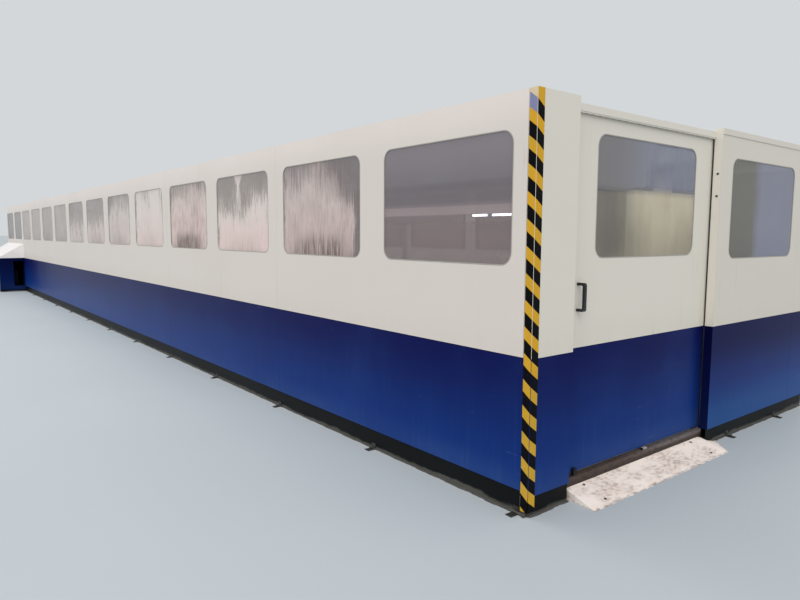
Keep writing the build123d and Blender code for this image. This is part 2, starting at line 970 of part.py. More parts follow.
def make_flume():
    """The open sheet trough that carries chips and coolant between table and bed."""
    front = front_y + flume_front
    back = front_y + flume_back
    middle = (front + back) / 2
    half = flume_floor_width / 2
    t = flume_sheet
    outline = [
        (front, flume_top), (front, flume_top - half), (middle - half, flume_bottom),
        (middle + half, flume_bottom), (back, flume_top - half), (back, flume_top),
        (back - t, flume_top), (back - t, flume_top - half + t), (middle + half - t, flume_bottom + t),
        (middle - half + t, flume_bottom + t), (front + t, flume_top - half + t), (front + t, flume_top),
    ]
    x0 = far_x + bed_start
    x1 = door_x - table_end
    trough = along_x(outline, x0, x1)
    supports = []
    for number in range(table_segments + 1):
        x = x0 + (x1 - x0 - flume_foot) * number / table_segments
        supports.append(block(x, x + flume_foot, middle - half, middle + half, 0, flume_bottom))
    save("chip_flume", [trough] + supports)


def carriage_centre():
    """Where the carriage stands at rest, along X."""
    return door_x - carriage_line


def bearing_block(rail_w, rail_h, length, width, height):
    """A bearing block round a rail of this section, its top at z 0 and the rail along X."""
    body = block(-length / 2, length / 2, -width / 2, width / 2, -height, 0)
    slot_half = rail_w / 2 + running_gap
    slot_top = -(height - block_drop)
    depth = max(slot_top, -(height - rail_h - running_gap))
    slot = block(-length, length, -slot_half, slot_half, -height - past, depth)
    return body - slot


def make_carriage():
    """The carriage plate on eight bearing blocks, with its drive and chain arm."""
    x = carriage_centre()
    y = front_y + bed_line
    plate_bottom = bed_height + rail_height + block_drop
    half = carriage_width / 2
    lip = block_drop
    outline = [
        (-half, plate_bottom), (half, plate_bottom), (half, carriage_top - 2 * lip),
        (half - 2 * lip, carriage_top), (-half + 2 * lip, carriage_top), (-half, carriage_top - 2 * lip),
    ]
    section = [(y + a, z) for a, z in outline]
    plate = along_x(section, x - carriage_length / 2, x + carriage_length / 2)
    blocks = []
    drop = plate_bottom - bed_height - rail_height / 3
    reach = (carriage_length - block_length) / 2
    shape = bearing_block(rail_width, rail_height, block_length, block_width, drop)
    for side in (-1, 1):
        for number in range(blocks_per_rail):
            place = x - reach + 2 * reach * number / (blocks_per_rail - 1)
            blocks.append(Pos(place, y + side * rail_spacing / 2, plate_bottom) * shape)
    arm_z = tray_level + tray_sheet + chain_height + 2 * chain_bend
    arm = block(
        x - chain_arm_width / 2, x + chain_arm_width / 2, y + half - 2 * lip,
        front_y + chain_line + chain_width / 2, arm_z, arm_z + chain_arm_thickness,
    )
    line = drive_pinion_line()
    bore_radius = pinion_shaft_radius + screw_clearance
    bore = upright(bore_radius, plate_bottom - past, carriage_top + past, x + drive_line, line)
    save("carriage", plate + arm - bore)
    save("bearing_blocks", blocks)
    make_pinion(x + drive_line, line)


def drive_pinion_line():
    """The Y of the pinion's axis, beside the rack."""
    return front_y + bed_line + rack_width / 2 + pinion_radius + running_gap


def make_pinion(x, y):
    """The pinion at the rack on its shaft, which goes up through the carriage plate."""
    bottom = bed_height - bed_way_rise + sheet
    wheel = upright(pinion_radius, bottom, bottom + pinion_height, x, y)
    shaft = upright(pinion_shaft_radius, bottom, carriage_top - running_gap, x, y)
    save("drive_pinion", wheel + shaft)


def axis_motors(x, screw_x, screw_y):
    """The carriage's gearbox and motor, and the lift motor on top of the column."""
    y = drive_pinion_line()
    gearbox = block(
        x + drive_line - gearbox_size / 2, x + drive_line + gearbox_size / 2,
        y - gearbox_size / 2, y + gearbox_size / 2, carriage_top, carriage_top + gearbox_height,
    )
    gearbox = chamfer(gearbox.edges().filter_by(Axis.Z), gearbox_chamfer)
    top = carriage_top + gearbox_height
    drive = gearbox + upright(drive_motor_radius, top, top + drive_motor_height, x + drive_line, y)
    lift = upright(lift_motor_radius, column_top, column_top + lift_motor_height, screw_x, screw_y)
    save("axis_motors", [drive, lift])


def make_column():
    """The portal column: two ribbed legs, a bridge over the head, rails and brackets."""
    x = carriage_centre()
    face = front_y + bed_line - column_depth / 2
    half = column_width / 2
    outline = closed([
        (-half, carriage_top), (half, carriage_top), (half, column_top - column_chamfer),
        (half - column_chamfer, column_top), (-half + column_chamfer, column_top),
        (-half, column_top - column_chamfer),
    ])
    foot_top = carriage_top + column_foot
    opening_height = column_opening_top - foot_top
    hole = Pos(0, (column_opening_top + foot_top) / 2)
    hole *= Rectangle(column_opening, opening_height)
    body = Pos(x, 0, 0) * along_y(outline - hole, face, face + column_depth)
    foot_half = half + column_foot_lip
    body += block(
        x - foot_half, x + foot_half, face, face + column_depth,
        carriage_top, foot_top,
    )
    room = column_depth / column_pockets
    low = foot_top + column_pocket_depth / 2
    high = column_top - column_chamfer - column_pocket_depth / 2
    row_room = (high - low) / column_pocket_rows
    pocket = Box(column_pocket_depth, room - column_rib, row_room - column_rib)
    for side in (-1, 1):
        pocket_x = x + side * (half - column_pocket_depth / 2 + past)
        for row in range(column_pocket_rows):
            for place in range(column_pockets):
                spot = Pos(pocket_x, face + room * (place + 0.5), low + row_room * (row + 0.5))
                body -= spot * pocket
    screw_x = x + screw_line
    screw_y = face - head_plate_gap / 2
    for z in (foot_top, column_top - bracket_height):
        bracket = block(
            screw_x - bracket_size / 2, screw_x + bracket_size / 2,
            screw_y - bracket_size / 2, face, z, z + bracket_height,
        )
        bore = upright(
            screw_radius + screw_clearance, z - past, z + bracket_height + past, screw_x, screw_y
        )
        body = body + bracket - bore
    save("column", body)
    rails = []
    for side in (-1, 1):
        rail_x = x + side * column_rail_line
        rails.append(block(
            rail_x - column_rail_width / 2, rail_x + column_rail_width / 2, face - column_rail_depth, face,
            foot_top + rail_end_gap, column_top - column_chamfer - rail_end_gap,
        ))
    save("column_rails", rails)
    screw = upright(
        screw_radius, foot_top + running_gap, column_top - running_gap, screw_x, screw_y
    )
    save("lift_screw", screw)
    axis_motors(x, screw_x, screw_y)


def make_head():
    """The head: a plate with bearing blocks on the column rails and the ram housing."""
    x = carriage_centre()
    face = front_y + bed_line - column_depth / 2
    back = face - head_plate_gap
    front = back - head_plate_depth
    z0 = spindle_height - head_plate_below
    z1 = spindle_height + head_plate_above
    half = head_plate_width / 2
    plate = block(x - half, x + half, front, back, z0, z1)
    plate = chamfer(plate.edges().filter_by(Axis.Y), head_plate_depth / 2)
    nose = front_y + bed_line - column_depth / 2 - head_front_gap
    housing = block(
        x - head_size / 2, x + head_size / 2, nose, nose + head_length,
        spindle_height - head_size / 2, spindle_height + head_size / 2,
    )
    housing = chamfer(housing.edges().filter_by(Axis.Y), ram_chamfer)
    body = plate + housing
    bore_size = ram_size + 2 * ram_clearance
    bore = Pos(x, spindle_height) * chamfered_square(bore_size)
    body -= along_y(bore, nose - past, nose + head_length + past)
    for side in (-1, 1):
        for z in (z0 + head_block_length / 2 + ram_chamfer, z1 - head_block_length / 2 - ram_chamfer):
            rail_x = x + side * column_rail_line
            shoe = block(
                rail_x - block_width / 2, rail_x + block_width / 2, back, face - rail_end_gap,
                z - head_block_length / 2, z + head_block_length / 2,
            )
            slot_half = column_rail_width / 2 + running_gap
            shoe -= block(
                rail_x - slot_half, rail_x + slot_half, face - column_rail_depth - running_gap, face,
                z - head_block_length, z + head_block_length,
            )
            body += shoe
    screw_y = face - head_plate_gap / 2
    nut = block(
        x + screw_line - nut_width / 2, x + screw_line + nut_width / 2, back, screw_y + nut_width / 2 - sheet,
        spindle_height - nut_height / 2, spindle_height + nut_height / 2,
    )
    body += nut
    body -= upright(
        screw_radius + screw_clearance, spindle_height - nut_height, spindle_height + nut_height,
        x + screw_line, screw_y,
    )
    save("head", body)


def chamfered_square(size):
    """A square with its corners cut off, as the ram and its bore have."""
    square = Rectangle(size, size)
    return chamfer(square.vertices(), ram_chamfer)


def ram_front():
    """Where the ram's front face stands at rest, along Y."""
    return front_y + bed_line - column_depth / 2 - head_front_gap - ram_lead


def spindle_face():
    """Where the spindle's front face stands at rest, along Y."""
    return ram_front() - nose_length - spindle_lead


def make_ram():
    """The ram with its nose ring, the spindle in its bore and the motor behind."""
    x = carriage_centre()
    y0 = ram_front()
    section = Pos(x, spindle_height) * chamfered_square(ram_size)
    body = along_y(section, y0, y0 + ram_length)
    body += drum(nose_radius, y0 - nose_length, y0, x, spindle_height)
    bore_end = y0 - nose_length + spindle_length
    bore = spindle_radius + spindle_clearance
    body -= drum(bore, y0 - nose_length - past, bore_end, x, spindle_height)
    save("ram", body)
    nose = spindle_face()
    stem = taper_depth + drawbar_depth
    end = spindle_length + spindle_lead - running_gap
    profile = closed([
        (0, stem), (drawbar_radius, stem), (drawbar_radius, taper_depth),
        (taper_small_radius, taper_depth), (taper_radius, 0), (spindle_radius, 0),
        (spindle_radius, end), (0, end),
    ])
    shaft = revolve(Plane.XY * profile, Axis.Y)
    save("spindle", Pos(x, nose, spindle_height) * shaft)
    save("milling_cutter", Pos(x, nose - tool_flange_width / 2, spindle_height) * tool())
    back = y0 + ram_length
    motor = drum(spindle_motor_radius, back, back + spindle_motor_length, x, spindle_height)
    save("spindle_motor", motor)


def magazine_plane():
    """The Y of the disc's middle: its tools stay clear of a cutter in the drawn-back ram."""
    cutter_tip = spindle_face() - tool_flange_width - tool_shank_length
    tool_end = cutter_tip - tool_clearance
    return tool_end - tool_stud_length - tool_taper_length - tool_flange_width / 2


def magazine_outline():
    """The disc seen along its axis: a web with holes and one open fork for each tool."""
    disc = Sketch() + Circle(disc_radius)
    root = disc_radius - fork_reach
    tip = magazine_radius + fork_reach
    for number in range(magazine_pots):
        turn = Rot(0, 0, 360 * number / magazine_pots)
        disc += turn * Pos((root + tip) / 2, 0) * Rectangle(tip - root, fork_width)
    for number in range(magazine_pots):
        turn = Rot(0, 0, 360 * number / magazine_pots)
        seat = Pos(magazine_radius, 0) * Circle(fork_seat)
        mouth = Pos(magazine_radius + fork_reach, 0) * Rectangle(2 * fork_reach, 2 * fork_seat)
        disc = disc - turn * seat - turn * mouth
    for number in range(disc_holes):
        turn = Rot(0, 0, 360 * (number + 0.5) / disc_holes)
        disc -= turn * Pos(disc_hole_circle, 0) * Circle(disc_hole_radius)
    return disc


def tool_profile():
    """One tool holder and cutter as a half section, its flange middle at height 0."""
    half = tool_flange_width / 2
    small = tool_stud_radius
    return [
        (0, -half - tool_shank_length), (tool_shank_radius, -half - tool_shank_length),
        (tool_shank_radius, -half), (tool_flange_radius, -half), (tool_flange_radius, half),
        (taper_radius - taper_gap, half), (taper_small_radius - taper_gap, half + tool_taper_length),
        (small, half + tool_taper_length), (small, half + tool_taper_length + tool_stud_length),
        (0, half + tool_taper_length + tool_stud_length),
    ]


def tool():
    """A tool holder with its cutter, pointing along -Y from its flange at the origin."""
    return revolve(Plane.XY * closed(tool_profile()), Axis.Y)


def make_magazine():
    """The disc magazine at the far end of the bed, where the spindle fetches its tools."""
    x = door_x - magazine_line
    y = magazine_plane()
    outline = Pos(x, spindle_height) * magazine_outline()
    disc = along_y(outline, y - disc_thickness / 2, y + disc_thickness / 2)
    hub_front = y - disc_thickness / 2 - disc_hub_length
    disc += drum(disc_hub_radius, hub_front, y + disc_thickness / 2 + disc_thickness, x, spindle_height)
    bore = stand_pin_radius + screw_clearance
    disc -= drum(bore, hub_front - past, y + disc_thickness / 2, x, spindle_height)
    save("magazine_disc", disc)
    shape = tool()
    tools = []
    for number in range(1, magazine_pots):
        angle = 2 * math.pi * number / magazine_pots
        place_x = x + magazine_radius * math.cos(angle)
        place_z = spindle_height + magazine_radius * math.sin(angle)
        tools.append(Pos(place_x, y, place_z) * shape)
    save("magazine_tools", tools)
    make_magazine_stand(x, hub_front - stand_gap, y + disc_thickness / 2)


def make_magazine_stand(x, front, pin_end):
    """The stand behind the disc: a foot, a box post, the hub pin and the indexing motor."""
    post_back = front
    post_front = front - stand_depth
    top = spindle_height + stand_width / 2
    middle = (post_front + post_back) / 2
    foot = Pos(x, middle, stand_foot_height / 2) * Box(stand_foot, stand_foot, stand_foot_height)
    outer = Rectangle(stand_width, stand_depth)
    inner = Rectangle(stand_width - 2 * stand_wall, stand_depth - 2 * stand_wall)
    post = Pos(x, middle, stand_foot_height) * extrude(outer - inner, top - stand_foot_height)
    pin = drum(stand_pin_radius, post_back - stand_wall, pin_end - running_gap, x, spindle_height)
    motor = drum(stand_motor_radius, post_front - stand_motor_length, post_front, x, spindle_height)
    save("magazine_stand", [foot + post + pin, motor])


def make_energy_chain():
    """The energy chain in its tray: a lower run, the bend and the run to the carriage."""
    y = front_y + chain_line
    fixed = door_x - chain_fixed_line
    moving = carriage_centre()
    loop = (fixed + moving - chain_free_length) / 2
    low = tray_level + tray_sheet
    middle = low + chain_height / 2 + chain_bend
    outer = chain_bend + chain_height / 2
    inner = chain_bend - chain_height / 2
    bend = Circle(outer) - Circle(inner)
    bend &= Pos(-outer, 0) * Rectangle(2 * outer, 2 * outer)
    bend = Pos(loop, middle) * bend
    lower = Pos((loop + fixed) / 2, middle - chain_bend) * Rectangle(fixed - loop, chain_height)
    upper = Pos((loop + moving) / 2, middle + chain_bend) * Rectangle(moving - loop, chain_height)
    band = Sketch() + [bend, lower, upper]
    save("energy_chain", along_y(band, y - chain_width / 2, y + chain_width / 2))
    make_chain_tray(y)


def make_chain_tray(y):
    """The folded tray that the chain lies in, on feet behind the bed."""
    x0 = far_x + bed_start
    x1 = door_x - bed_end
    half = tray_width / 2
    t = tray_sheet
    outline = [
        (y - half, tray_level), (y + half, tray_level), (y + half, tray_level + tray_lip),
        (y + half - t, tray_level + tray_lip), (y + half - t, tray_level + t),
        (y - half + t, tray_level + t), (y - half + t, tray_level + tray_lip),
        (y - half, tray_level + tray_lip),
    ]
    parts = [along_x(outline, x0, x1)]
    for number in range(bed_segments + 1):
        x = x0 + (x1 - x0 - post_size) * number / bed_segments
        parts.append(block(x, x + post_size, y - post_size / 2, y + post_size / 2, 0, tray_level))
    save("chain_tray", parts)


def control_hinge_lines():
    """Hinge axes of the two cabinet doors as (y, direction of the leaf along Y)."""
    y0 = front_y + control_start
    return ((y0 - hinge_side, 1), (y0 + control_width + hinge_side, -1))


def make_control_cabinet():
    """The sheet cabinet for the controls: body open towards -X, hinge lugs, drives inside."""
    x1 = door_x - control_face
    x0 = x1 - control_depth
    y0 = front_y + control_start
    y1 = y0 + control_width
    t = control_sheet
    body = block(x0, x1, y0, y1, control_plinth, control_height)
    body -= block(x0 - past, x1 - t, y0 + t, y1 - t, control_plinth + t, control_height - t)
    plinth = block(
        x0 + control_rim, x1 - control_rim, y0 + control_rim, y1 - control_rim, 0, control_plinth,
    )
    for axis_y, side in control_hinge_lines():
        axis_x = x0 - hinge_offset
        wall = y0 if side > 0 else y1
        near, far = sorted((axis_y - side * hinge_sleeve_radius, wall))
        for z in hinge_heights:
            lug = block(
                axis_x - hinge_sleeve_radius, x0 + hinge_offset, near, far, z - hinge_length / 2, z,
            )
            pin = upright(hinge_pin_radius, z, z + hinge_length - hinge_top_gap, axis_x, axis_y)
            body = body + lug + pin
    save("control_cabinet", [body, plinth])
    plate = block(
        x1 - plate_gap - plate_thickness, x1 - t, y0 + plate_gap, y1 - plate_gap,
        control_plinth + plate_gap, control_height - plate_gap,
    )
    plate -= block(
        x1 - plate_gap, x1, y0 + 2 * plate_gap, y1 - 2 * plate_gap,
        control_plinth + 2 * plate_gap, control_height - 2 * plate_gap,
    )
    modules = []
    face = x1 - plate_gap - plate_thickness
    step_y = (control_width - 4 * plate_gap) / drive_module_columns
    step_z = (control_height - control_plinth - 4 * plate_gap) / drive_module_rows
    half_y = (step_y - drive_module_gap) / 2
    half_z = (step_z - drive_module_row_gap) / 2
    for row in range(drive_module_rows):
        for column in range(drive_module_columns):
            y = y0 + 2 * plate_gap + step_y * (column + 0.5)
            z = control_plinth + 2 * plate_gap + step_z * (row + 0.5)
            modules.append(block(
                face - drive_module_depth, face, y - half_y, y + half_y, z - half_z, z + half_z,
            ))
    save("drive_modules", [plate] + modules)


def make_cabinet_doors():
    """Two hinged doors with sleeve hinges and a lever latch on each."""
    x0 = door_x - control_face - control_depth
    axis_x = x0 - hinge_offset
    inner_face = x0 - control_door_gap
    outer_face = inner_face - control_door_thickness
    y0 = front_y + control_start
    middle = y0 + control_width / 2
    for number, (axis_y, side) in enumerate(control_hinge_lines(), start=1):
        start = axis_y + side * (hinge_offset + leaf_side_gap)
        end = middle - side * control_door_gap
        low, high = sorted((start, end))
        width = high - low
        height = control_height - control_plinth - 2 * sheet
        leaf = tray(width, height, control_door_thickness)
        leaf = turned(Pos(0, 0, control_plinth + sheet) * leaf, outer_face, high, -90)
        for z in hinge_heights:
            sleeve_z = z + running_gap
            top = z + hinge_length - hinge_top_gap
            sleeve = upright(hinge_sleeve_radius, sleeve_z, top, axis_x, axis_y)
            near, far = sorted((axis_y, start + side * sheet))
            sleeve += block(axis_x - hinge_sleeve_radius, axis_x, near, far, sleeve_z, top)
            sleeve -= upright(hinge_pin_radius + hinge_clearance, z - past, top + past, axis_x, axis_y)
            leaf += sleeve
        save(f"cabinet_door_{number}", leaf)
        latch_y = end - side * latch_line
        save(f"cabinet_latch_{number}", latch(outer_face, latch_y))


def latch(face, y):
    """A lever latch: a round hub on the door and a lever that hangs down from it."""
    hub = Rot(0, 90, 0) * Cylinder(latch_hub_radius, latch_hub_length)
    hub = Pos(face - running_gap - latch_hub_length / 2, y, latch_height) * hub
    lever_x = face - running_gap - latch_hub_length
    outline = Pos(y, latch_height - latch_length / 2)
    outline *= RectangleRounded(latch_width, latch_length, latch_width / 3)
    lever = extrude(Plane.YZ.offset(lever_x - latch_thickness) * outline, latch_thickness)
    return hub + lever


def make_console():
    """The operator's console on the cabinet's side, with its screen and stop button."""
    x1 = door_x - control_face - console_side_gap
    x0 = x1 - console_width
    y1 = front_y + control_start
    face = y1 - console_depth
    edge = face - console_shelf
    outline = [
        (y1, console_bottom), (edge, console_bottom), (edge, console_bottom + console_side_gap),
        (face, console_shelf_top), (face, console_top), (y1, console_top),
    ]
    body = along_x(outline, x0, x1)
    middle = (x0 + x1) / 2
    screen_bottom = console_top - console_side_gap - screen_height
    recess = block(
        middle - screen_width / 2, middle + screen_width / 2, face - past, face + screen_depth,
        screen_bottom, screen_bottom + screen_height,
    )
    body -= recess
    stop_x = x1 - console_side_gap
    stop_z = (console_shelf_top + screen_bottom) / 2
    stem_room = button_travel + button_thickness
    body -= drum(button_stem + button_clearance, face - past, face + 2 * stem_room, stop_x, stop_z)
    save("operator_console", body)
    half = screen_width / 2 - running_gap
    screen = block(
        middle - half, middle + half, face + screen_setback, face + screen_depth,
        screen_bottom + running_gap, screen_bottom + screen_height - running_gap,
    )
    save("console_screen", screen)
    head_back = face - button_travel - running_gap
    button = drum(button_radius, head_back - button_thickness, head_back, stop_x, stop_z)
    button += drum(button_stem, head_back, face + stem_room, stop_x, stop_z)
    save("stop_button", button)


def make_lights():
    """Long light fittings on the rear posts, one across every second bay joint."""
    fittings = []
    inner = rear_y - tray_depth - post_size
    for joint in range(light_spacing, bay_count, light_spacing):
        x = far_x + joint * bay_length
        body = block(
            x - light_length / 2, x + light_length / 2, inner - light_stand_off - light_depth,
            inner - light_stand_off, light_level, light_level + light_height,
        )
        foot = block(
            x - post_size / 2, x + post_size / 2, inner - light_stand_off, inner,
            light_level, light_level + light_height,
        )
        fittings.append(body + foot)
    save("light_fittings", fittings)


make_walls()
make_frame()
make_base_rails()
make_corner_casings()
make_header()
make_track()
make_sill()
make_door()
make_rollers()
make_tape()
make_ramp()
make_anchors()
make_side_cabinet()
make_bed()
make_table()
make_flume()
make_carriage()
make_column()
make_head()
make_ram()
make_magazine()
make_energy_chain()
make_control_cabinet()
make_cabinet_doors()
make_console()
make_lights()
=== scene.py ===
# %% [markdown]
# # A long machining center in its windowed enclosure
# The real object is a row of folded steel sheets, white above and blue below, round a machine that
# travels along its whole length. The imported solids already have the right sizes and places. This
# script gives them the finish of the real one and adds what is too fine for the solids: rubber
# seals, screws, links, threads, sealant and dirt.

# %% The frame
import math

import bmesh
import bpy
import numpy as np
from mathutils import Matrix, Vector


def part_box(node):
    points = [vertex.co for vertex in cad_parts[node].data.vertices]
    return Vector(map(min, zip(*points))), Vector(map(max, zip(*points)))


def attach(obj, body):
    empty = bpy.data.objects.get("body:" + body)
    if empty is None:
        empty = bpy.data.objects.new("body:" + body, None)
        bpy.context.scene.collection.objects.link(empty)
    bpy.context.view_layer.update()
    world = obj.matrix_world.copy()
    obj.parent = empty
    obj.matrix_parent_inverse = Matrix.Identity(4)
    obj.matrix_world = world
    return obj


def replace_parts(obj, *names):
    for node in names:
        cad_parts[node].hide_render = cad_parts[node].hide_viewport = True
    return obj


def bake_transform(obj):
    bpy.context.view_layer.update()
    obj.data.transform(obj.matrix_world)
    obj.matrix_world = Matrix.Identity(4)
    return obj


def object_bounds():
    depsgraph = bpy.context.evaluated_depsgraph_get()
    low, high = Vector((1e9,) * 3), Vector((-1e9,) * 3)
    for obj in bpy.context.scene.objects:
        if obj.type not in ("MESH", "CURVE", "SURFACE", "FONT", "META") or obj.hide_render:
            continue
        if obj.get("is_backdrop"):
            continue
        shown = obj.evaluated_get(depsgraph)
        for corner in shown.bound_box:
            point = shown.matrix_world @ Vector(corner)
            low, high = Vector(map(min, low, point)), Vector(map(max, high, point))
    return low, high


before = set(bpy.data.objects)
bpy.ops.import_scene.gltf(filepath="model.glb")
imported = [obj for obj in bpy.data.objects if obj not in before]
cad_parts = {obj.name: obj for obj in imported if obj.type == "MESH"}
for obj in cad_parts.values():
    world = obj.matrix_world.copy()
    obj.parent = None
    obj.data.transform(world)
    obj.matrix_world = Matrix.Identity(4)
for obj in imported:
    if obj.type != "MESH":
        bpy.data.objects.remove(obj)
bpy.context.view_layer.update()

# %% [markdown]
# ## Camera
# The picture was taken at eye height from beyond the near corner, so both walls run away from the
# lens. Its place was worked out from the straight edges of the walls: a turn about the vertical,
# a slight look downwards and a hair of tilt. Three unit vectors make the camera's matrix.

# %% Camera
EYE = Vector((12.6715, -4.4385, 1.611))
TURN, DOWN, TILT = (math.radians(a) for a in (51.675, 5.907, 0.243))
LENS, SENSOR = 28.49, 36.0

level = Vector((math.cos(TURN), math.sin(TURN), 0))
ahead = Vector((-math.sin(TURN) * math.cos(DOWN), math.cos(TURN) * math.cos(DOWN), -math.sin(DOWN)))
above = level.cross(ahead)
right = level * math.cos(TILT) + above * math.sin(TILT)
up = above * math.cos(TILT) - level * math.sin(TILT)
camera = bpy.data.objects.new("camera", bpy.data.cameras.new("camera"))
camera.data.lens = LENS
camera.data.sensor_width = SENSOR
camera.data.clip_start = 0.05
camera.data.clip_end = 1000
camera.matrix_world = Matrix.Translation(EYE) @ Matrix((right, up, -ahead)).transposed().to_4x4()
bpy.context.scene.collection.objects.link(camera)
bpy.context.scene.camera = camera
print("camera at", tuple(round(v, 2) for v in camera.location), "looking", tuple(round(v, 3) for v in ahead))

# %% [markdown]
# ## Shader arithmetic
# A finish is easier to read as a formula than as a heap of nodes. A `Wire` is one output socket, and
# arithmetic on it adds Math nodes. A `Finish` holds a node tree, and its one `node` method makes any
# other node: first its settings, then the values or links of its sockets.

# %% Wires and finishes
class Wire:
    """One output socket of a node tree; + - * / on it add Math nodes."""

    def __init__(self, finish, socket):
        self.finish = finish
        self.socket = socket

    def math(self, operation, *values, clamp=False):
        """A Math node on this wire or number and further ones."""
        settings = {"operation": operation, "use_clamp": clamp}
        return self.finish.node("ShaderNodeMath", settings, dict(enumerate(values)))

    def __add__(self, other):
        return self.math("ADD", self, other)

    def __sub__(self, other):
        return self.math("SUBTRACT", self, other)

    def __rsub__(self, other):
        return self.math("SUBTRACT", other, self)

    def __mul__(self, other):
        return self.math("MULTIPLY", self, other)

    def __truediv__(self, other):
        return self.math("DIVIDE", self, other)

    def __pow__(self, other):
        return self.math("POWER", self, other)

    __radd__ = __add__
    __rmul__ = __mul__

    def floor(self):
        """The whole number below."""
        return self.math("FLOOR", self)

    def size(self):
        """The value without its sign."""
        return self.math("ABSOLUTE", self)

    def most(self, other):
        """The larger of two."""
        return self.math("MAXIMUM", self, other)

    def clip(self):
        """Kept between 0 and 1."""
        return self.math("ADD", self, 0.0, clamp=True)

    def over(self, edge):
        """1 where the value is above the edge, else 0."""
        return self.math("GREATER_THAN", self, edge)

    def rise(self, low, high):
        """0 below low, 1 above high, with a smooth step between; a fall where low is above high."""
        if low > high:
            return 1.0 - self.rise(high, low)
        settings = {"interpolation_type": "SMOOTHSTEP"}
        values = {"Value": self, "From Min": low, "From Max": high}
        return self.finish.node("ShaderNodeMapRange", settings, values)


class Finish:
    """A node tree under construction, for a material or the world."""

    def __init__(self, tree):
        self.tree = tree
        self.tree.nodes.clear()
        self.corner = None

    def node(self, kind, settings=None, values=None, out=0):
        """Makes one node: its settings, then its sockets' values or links; gives an output.
        A colour ramp's stops are set as hard steps."""
        made = self.tree.nodes.new(kind)
        for key, value in (settings or {}).items():
            if key == "stops":
                ramp = made.color_ramp
                ramp.interpolation = "CONSTANT"
                while len(ramp.elements) < len(value):
                    ramp.elements.new(0.5)
                for element, (place, colour) in zip(ramp.elements, value):
                    element.position = place
                    element.color = colour
            else:
                setattr(made, key, value)
        for key, value in (values or {}).items():
            if isinstance(value, Wire):
                self.tree.links.new(value.socket, made.inputs[key])
            else:
                made.inputs[key].default_value = value
        return Wire(self, made.outputs[out]) if len(made.outputs) else None

    def spot(self):
        """Object coordinates, in metres in the row frame."""
        if self.corner is None:
            self.corner = self.node("ShaderNodeTexCoord", out="Object")
        return self.corner

    def axes(self):
        """The three coordinates as separate wires."""
        parts = self.node("ShaderNodeSeparateXYZ", values={0: self.spot()})
        outputs = parts.socket.node.outputs
        return [Wire(self, outputs[i]) for i in range(3)]

    def cloud(self, size, stretch=(1, 1, 1), detail=3.0, shift=0.0, rough=0.5):
        """Noise from 0 to 1 with lumps of the given size in metres, drawn out along an axis."""
        scale = [1 / (size * s) for s in stretch]
        values = {"Vector": self.spot(), "Scale": scale, "Location": (shift, shift * 1.7, shift * 0.6)}
        moved = self.node("ShaderNodeMapping", values=values)
        values = {"Vector": moved, "Scale": 1.0, "Detail": detail, "Roughness": rough}
        return self.node("ShaderNodeTexNoise", values=values)

    def mix(self, share, first, second):
        """One colour turning into another."""
        settings = {"data_type": "RGBA"}
        return self.node("ShaderNodeMix", settings, {0: share, 6: first, 7: second}, out=2)

    def relief(self, height, depth, strength=1.0):
        """A Bump node from a height between 0 and 1, its full depth in metres."""
        return self.node("ShaderNodeBump", values={"Height": height, "Distance": depth, "Strength": strength})


def colour(code):
    """A colour written as six hex digits, turned into linear light."""
    parts = [int(code[i:i + 2], 16) / 255 for i in (0, 2, 4)]
    return tuple(p / 12.92 if p <= 0.04045 else ((p + 0.055) / 1.055) ** 2.4 for p in parts) + (1.0,)


def finish(name):
    """A new material's Finish."""
    material = bpy.data.materials.new(name)
    material.use_nodes = True
    made = Finish(material.node_tree)
    made.material = material
    return made


def surface(made, **sockets):
    """Closes a material with a Principled shader; socket names are written with underscores."""
    values = {key.replace("_", " "): value for key, value in sockets.items()}
    shader = made.node("ShaderNodeBsdfPrincipled", values=values)
    made.node("ShaderNodeOutputMaterial", values={"Surface": shader})
    return made.material


print("shader arithmetic ready")

# %% [markdown]
# ## Stage
# A studio floor that is pale and plain, an even sky for the fill, one broad sun for the direction
# and three soft boxes above the row, as lamps hang in a long hall. The camera, gloss and glass see a
# pale background, while the light that falls on the object comes from its own, steady value.

# %% Floor, sky and lamps
FLOOR_REACH = 400.0
SKY_SEEN = colour("d3d7da")
SKY_LIGHT = 0.66
SUN = 1.45
SOFT_BOX = 90
LOBBY_LAMP = 7.2

floor_mesh = bpy.data.meshes.new("floor")
corners = FLOOR_REACH * np.array([(-1, -1, 0), (1, -1, 0), (1, 1, 0), (-1, 1, 0)])
floor_mesh.from_pydata(corners.tolist(), [], [(0, 1, 2, 3)])
floor = bpy.data.objects.new("floor", floor_mesh)
bpy.context.scene.collection.objects.link(floor)
ground = finish("floor_coat")
patches = ground.cloud(2.5, detail=4.0)
floor_mesh.materials.append(surface(
    ground,
    Base_Color=ground.mix(patches, colour("b6bec2"), colour("bfc6ca")),
    Roughness=0.55,
))
floor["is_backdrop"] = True

world = bpy.data.worlds.new("hall_light")
world.use_nodes = True
bpy.context.scene.world = world
sky = Finish(world.node_tree)
path = sky.node("ShaderNodeLightPath", out="Is Camera Ray")
flags = path.socket.node.outputs
seen = (path + Wire(sky, flags["Is Glossy Ray"]) + Wire(sky, flags["Is Transmission Ray"])).clip()
lit = sky.node("ShaderNodeBackground", values={"Color": (0.97, 0.98, 1.0, 1.0), "Strength": SKY_LIGHT})
shown = sky.node("ShaderNodeBackground", values={"Color": SKY_SEEN, "Strength": 1.0})
both = sky.node("ShaderNodeMixShader", values={0: seen, 1: lit, 2: shown})
sky.node("ShaderNodeOutputWorld", values={"Surface": both})


